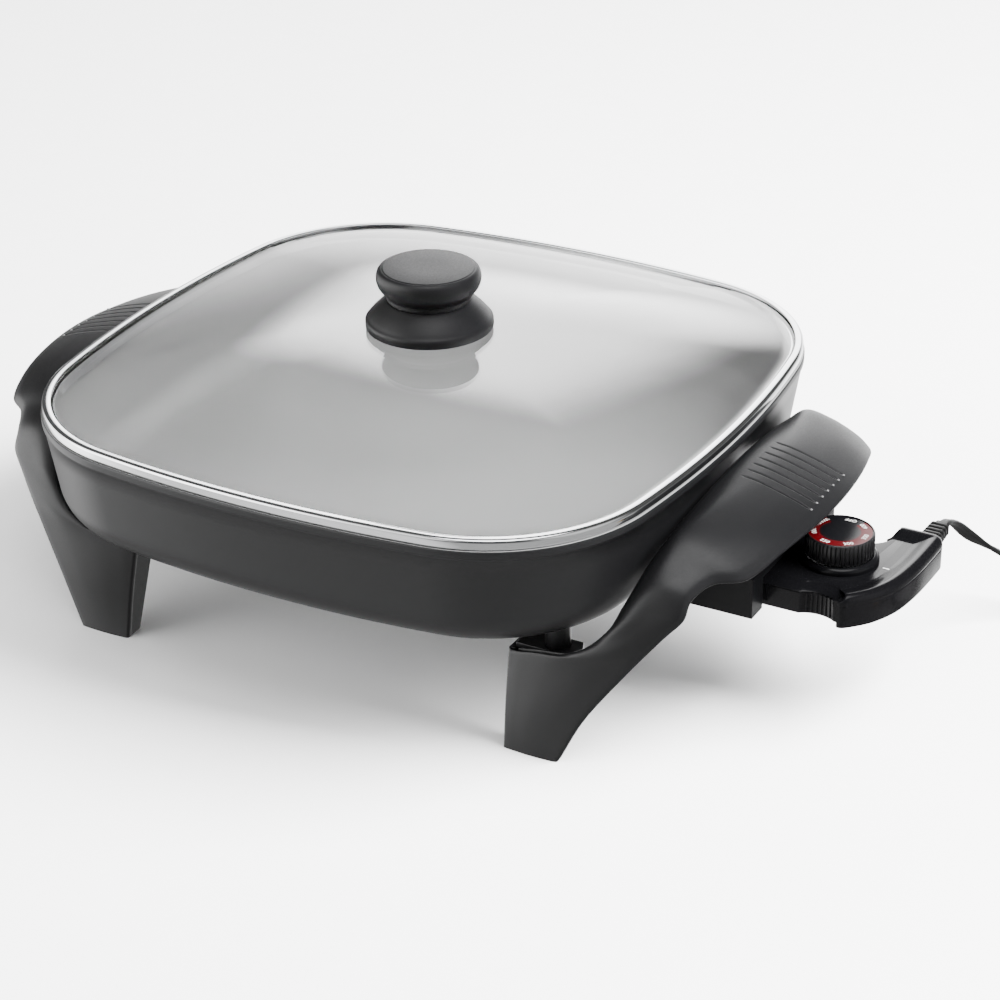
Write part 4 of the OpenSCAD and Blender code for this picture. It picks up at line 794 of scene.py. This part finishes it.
def makeRelief():
    r = reliefLook
    shape = Shape()

    def block(w, z0, z1, y0, y1, edge=0.35):
        c = min(w, z1 - z0) * 0.34
        flat = []
        for sx, sz, a0 in ((1, 1, 0), (-1, 1, 90), (-1, -1, 180), (1, -1, 270)):
            cx, cz = sx * (w - c), (z1 - c if sz > 0 else z0 + c)
            flat += arc(cx, cz, c, a0, a0 + 90, 4)
        middle = (z0 + z1) / 2
        rings = []
        for y, s in ((y0, edge), (y0 + edge, 0), (y1 - edge, 0), (y1, edge)):
            rings.append([Vector(((r["x"] + x * (1 - s / w)) * mm, (r["wall"] + y) * mm,
                                  (r["z"] + middle + (z - middle) * (1 - s / w)) * mm)) for x, z in flat])
        shape.rings(rings)

    pitch = r["long"] / (r["ribs"] - 0.45)
    block(3.6, -2.4, 2.4, -3, r["long"] - 0.3, 0.1)
    for k in range(r["ribs"]):
        block(4.8 - 0.12 * k, 0.08 * k - 3.2, 3.2 - 0.08 * k, k * pitch, (k + 0.62) * pitch)
    block(3.15, -2.0, 1.8, r["long"] - 0.6, r["nose"], 0.5)
    shape.piece("strainRelief", [cordPvc], "control", replaced=["strain_relief"], slot="cord_pvc")


def makeCord():
    c = cordLook
    line = [Vector(p) for p in curve([tuple(p) for p in cordPath], 3)]
    section = []  # two rounded cores side by side with a shallow valley between them
    for k in range(20):
        a = 2 * math.pi * (k + 0.5) / 20
        x, z = math.cos(a), math.sin(a)
        flat = 1 - c["valley"] * math.exp(-(x / 0.28) ** 2)
        section.append((x * c["width"] / 2, z * c["thick"] / 2 * flat))
    rings = []
    side = Vector((-1, 0, 0))
    for i, p in enumerate(line):
        d = (line[min(i + 1, len(line) - 1)] - line[max(i - 1, 0)]).normalized()
        side = Vector((d.y, -d.x, 0)).normalized() if abs(d.z) < 0.98 else side
        up = side.cross(d).normalized()
        twist = math.radians(c["roll"]) * math.exp(-((i - 14) / 7) ** 2)  # the lead rolls over once as it drops
        s, u = side * math.cos(twist) + up * math.sin(twist), up * math.cos(twist) - side * math.sin(twist)
        rings.append([(p + s * x + u * z) * mm for x, z in section])
    shape = Shape()
    shape.rings(rings)
    cord = shape.piece("powerCord", [cordPvc], "control", replaced=["power_cord", "cord_coil", "plug_lead"],
                       slot="cord_pvc", sharp=60)
    return cord, [p * mm for p in line]


# the tie's section is (distance from the coil's middle, height)
tieLook = {"angle": 150, "wide": 12, "edge": 0.3,
           "section": ((24.4, 0.15), (38.1, 0.15), (38.35, 0.9), (38.1, 6.3), (37.5, 6.9), (25.0, 6.9), (24.4, 6.3),
                       (24.2, 0.9))}


def makeTie():
    x, y = cordLook["coilX"], cordLook["coilY"]
    shape = Shape()
    rings = []
    for k in range(7):
        a = math.radians(tieLook["angle"] + tieLook["wide"] * k / 6)
        rings.append([Vector(((x + r * math.cos(a)) * mm, (y + r * math.sin(a)) * mm, z * mm))
                      for r, z in tieLook["section"]])
    shape.rings(rings)
    return softEdges(shape.piece("cordTie", [silicone], "control", replaced=["cord_tie"], slot="cord_pvc"),
                     tieLook["edge"])


# the plug's rings are (distance from the blades' side, half width, half height)
plugLook = {"x": 314, "z": 8.05, "square": 4, "ridges": 3, "ridgeY": 10.5, "ridgePitch": 2.6, "ridgeHigh": 4.5,
            "rings": ((0, 11.4, 7.4), (0.6, 12, 8), (9, 12, 8), (14, 11.3, 7.7), (19, 9.4, 7), (24, 7.2, 6),
                      (29, 5.4, 4.8), (31, 4.2, 3.6))}


def makePlug():
    p = plugLook
    shape = Shape()
    rings = []
    for y, w, h in p["rings"]:
        ring = []
        for k in range(32):
            a = 2 * math.pi * (k + 0.5) / 32
            x, z = math.cos(a), math.sin(a)
            f = (abs(x) ** p["square"] + abs(z) ** p["square"]) ** (-1 / p["square"])  # rounded box section
            ring.append(Vector(((p["x"] + w * x * f) * mm, y * mm, (p["z"] + h * z * f) * mm)))
        rings.append(ring)
    shape.rings(rings)
    for k in range(p["ridges"]):  # finger ridges on both broad sides
        for s in (-1, 1):
            y = p["ridgeY"] + p["ridgePitch"] * k
            w = 12 - 0.1 * (y - 9)
            shape.rings([[Vector(((p["x"] + s * (w - 0.5 + dx)) * mm, (y + dy) * mm, (p["z"] + z) * mm)) for dx, dy in
                          ((0, -0.6), (0.6, -0.5), (0.6, 0.5), (0, 0.6))] for z in (-p["ridgeHigh"], p["ridgeHigh"])])
    return shape.piece("plugBody", [cordPvc], "control", replaced=["plug_body"], slot="plug_pvc", sharp=40)


makeRelief()
cord, cordLine = makeCord()
tie, plug = makeTie(), makePlug()

# finishes on the carried-over parts
finishes = {
    "heating_element": sheathSteel, "terminal_pins": nickelSteel, "pin_bushings": steatite, "handle_screws": zincSteel,
    "terminal_guard": guardPlastic, "guard_screws": zincSteel, "knob_insert": brass, "knob_gasket": silicone,
    "knob_washer": nickelSteel, "knob_screw": zincSteel, "control_screws": zincSteel, "socket_block": thermoset,
    "contact_sockets": brass, "sensor_probe": nickelSteel, "thermostat_frame": zincSteel, "thermostat_strip": brass,
    "thermostat_contacts": nickelSteel, "dial_spindle": zincSteel, "plug_blades": brass}


def dressNodes():
    for name, material in finishes.items():
        piece = nodes[name]
        piece.data.materials.clear()
        piece.data.materials.append(material)
        if name == "terminal_guard":
            softEdges(piece, 0.5, 2)


dressNodes()
print("small parts dressed")

# floor and studio light; a panel on the dome is (direction, cosines where it fades out and is full, strength)
studio = {"floor": "#f4f4f4", "fibre": "#f8f8f8", "fibreMm": 25, "floorHalf": 20, "sky": 0.12,
          "boxPlace": (1.25, 0.5, 1.5), "boxSize": 1.5, "boxPower": 400,
          "panels": [((-0.38, 0.84, 0.38), 0.962, 0.993, 7.5), ((0.15, -0.15, 1), 0.89, 0.97, 7.0),
                     ((-0.76, -0.58, 0.3), 0.84, 0.98, 6.5), ((-0.4, -0.8, 0.42), 0.8, 0.98, 1.8),
                     ((0.95, -0.1, 0.25), 0.8, 0.98, 1.0), ((-0.2, 0.93, -0.2), 0.78, 0.97, 4.5),
                     ((-0.45, -0.75, -0.5), 0.8, 0.97, 0.8), ((-0.93, -0.15, -0.2), 0.8, 0.97, 4.5),
                     ((0, -0.1, -1), 0.0, 0.4, 0.5)]}


def makeWorld():
    world = bpy.data.worlds.new("studioDome")
    bpy.context.scene.world = world
    world.use_nodes = True
    tree = world.node_tree
    look = addNode(tree, "ShaderNodeTexCoord").outputs["Generated"]
    total = None
    for direction, far, near, strength in studio["panels"]:
        aim = Vector(direction).normalized()
        dot = addNode(tree, "ShaderNodeVectorMath", {"operation": "DOT_PRODUCT", 1: tuple(aim)}, {0: look})
        fade = {"interpolation_type": "SMOOTHSTEP", "From Min": far, "From Max": near, "To Min": 0.0, "To Max": strength}
        panel = addNode(tree, "ShaderNodeMapRange", fade, {"Value": dot.outputs["Value"]})
        if total:
            total = addNode(tree, "ShaderNodeMath", {"operation": "ADD"}, {0: total, 1: panel.outputs[0]}).outputs[0]
        else:  # the first panel adds to the even light of the sky
            total = addNode(tree, "ShaderNodeMath", {"operation": "ADD", 1: studio["sky"]},
                            {0: panel.outputs[0]}).outputs[0]
    back = tree.nodes["Background"]
    back.inputs["Color"].default_value = (1, 1, 1, 1)
    tree.links.new(total, back.inputs["Strength"])


def makeFloor():
    # matt paper sweep: pale, with a faint fibre tone
    paper = makeFinish("mattPaperFloor", {"Roughness": 0.9, "IOR": 1.4},
                       {"fibre": {"Scale": 1000 / studio["fibreMm"], "Detail": 3.0}},
                       ("fibre", studio["floor"], studio["fibre"]))
    r = studio["floorHalf"]
    mesh = bpy.data.meshes.new("floor")
    mesh.from_pydata([(-r, -r, 0), (r, -r, 0), (r, r, 0), (-r, r, 0)], [], [(0, 1, 2, 3)])
    mesh.materials.append(paper)
    floor = bpy.data.objects.new("floor", mesh)
    bpy.context.scene.collection.objects.link(floor)
    floor.visible_glossy = False  # the lower dome panel stands in for it in reflections, so black parts stay black


def makeSoftbox():  # broad light from above the right side, aimed at the middle and kept out of the reflections
    data = bpy.data.lights.new("overheadSoftbox", "AREA")
    data.size, data.energy = studio["boxSize"], studio["boxPower"]
    lamp = bpy.data.objects.new("overheadSoftbox", data)
    bpy.context.scene.collection.objects.link(lamp)
    aim = -Vector(studio["boxPlace"])
    lamp.matrix_world = Matrix.Translation(studio["boxPlace"]) @ aim.to_track_quat("-Z", "Y").to_matrix().to_4x4()
    lamp.visible_glossy = False


makeWorld()
makeFloor()
makeSoftbox()
print("studio ready")
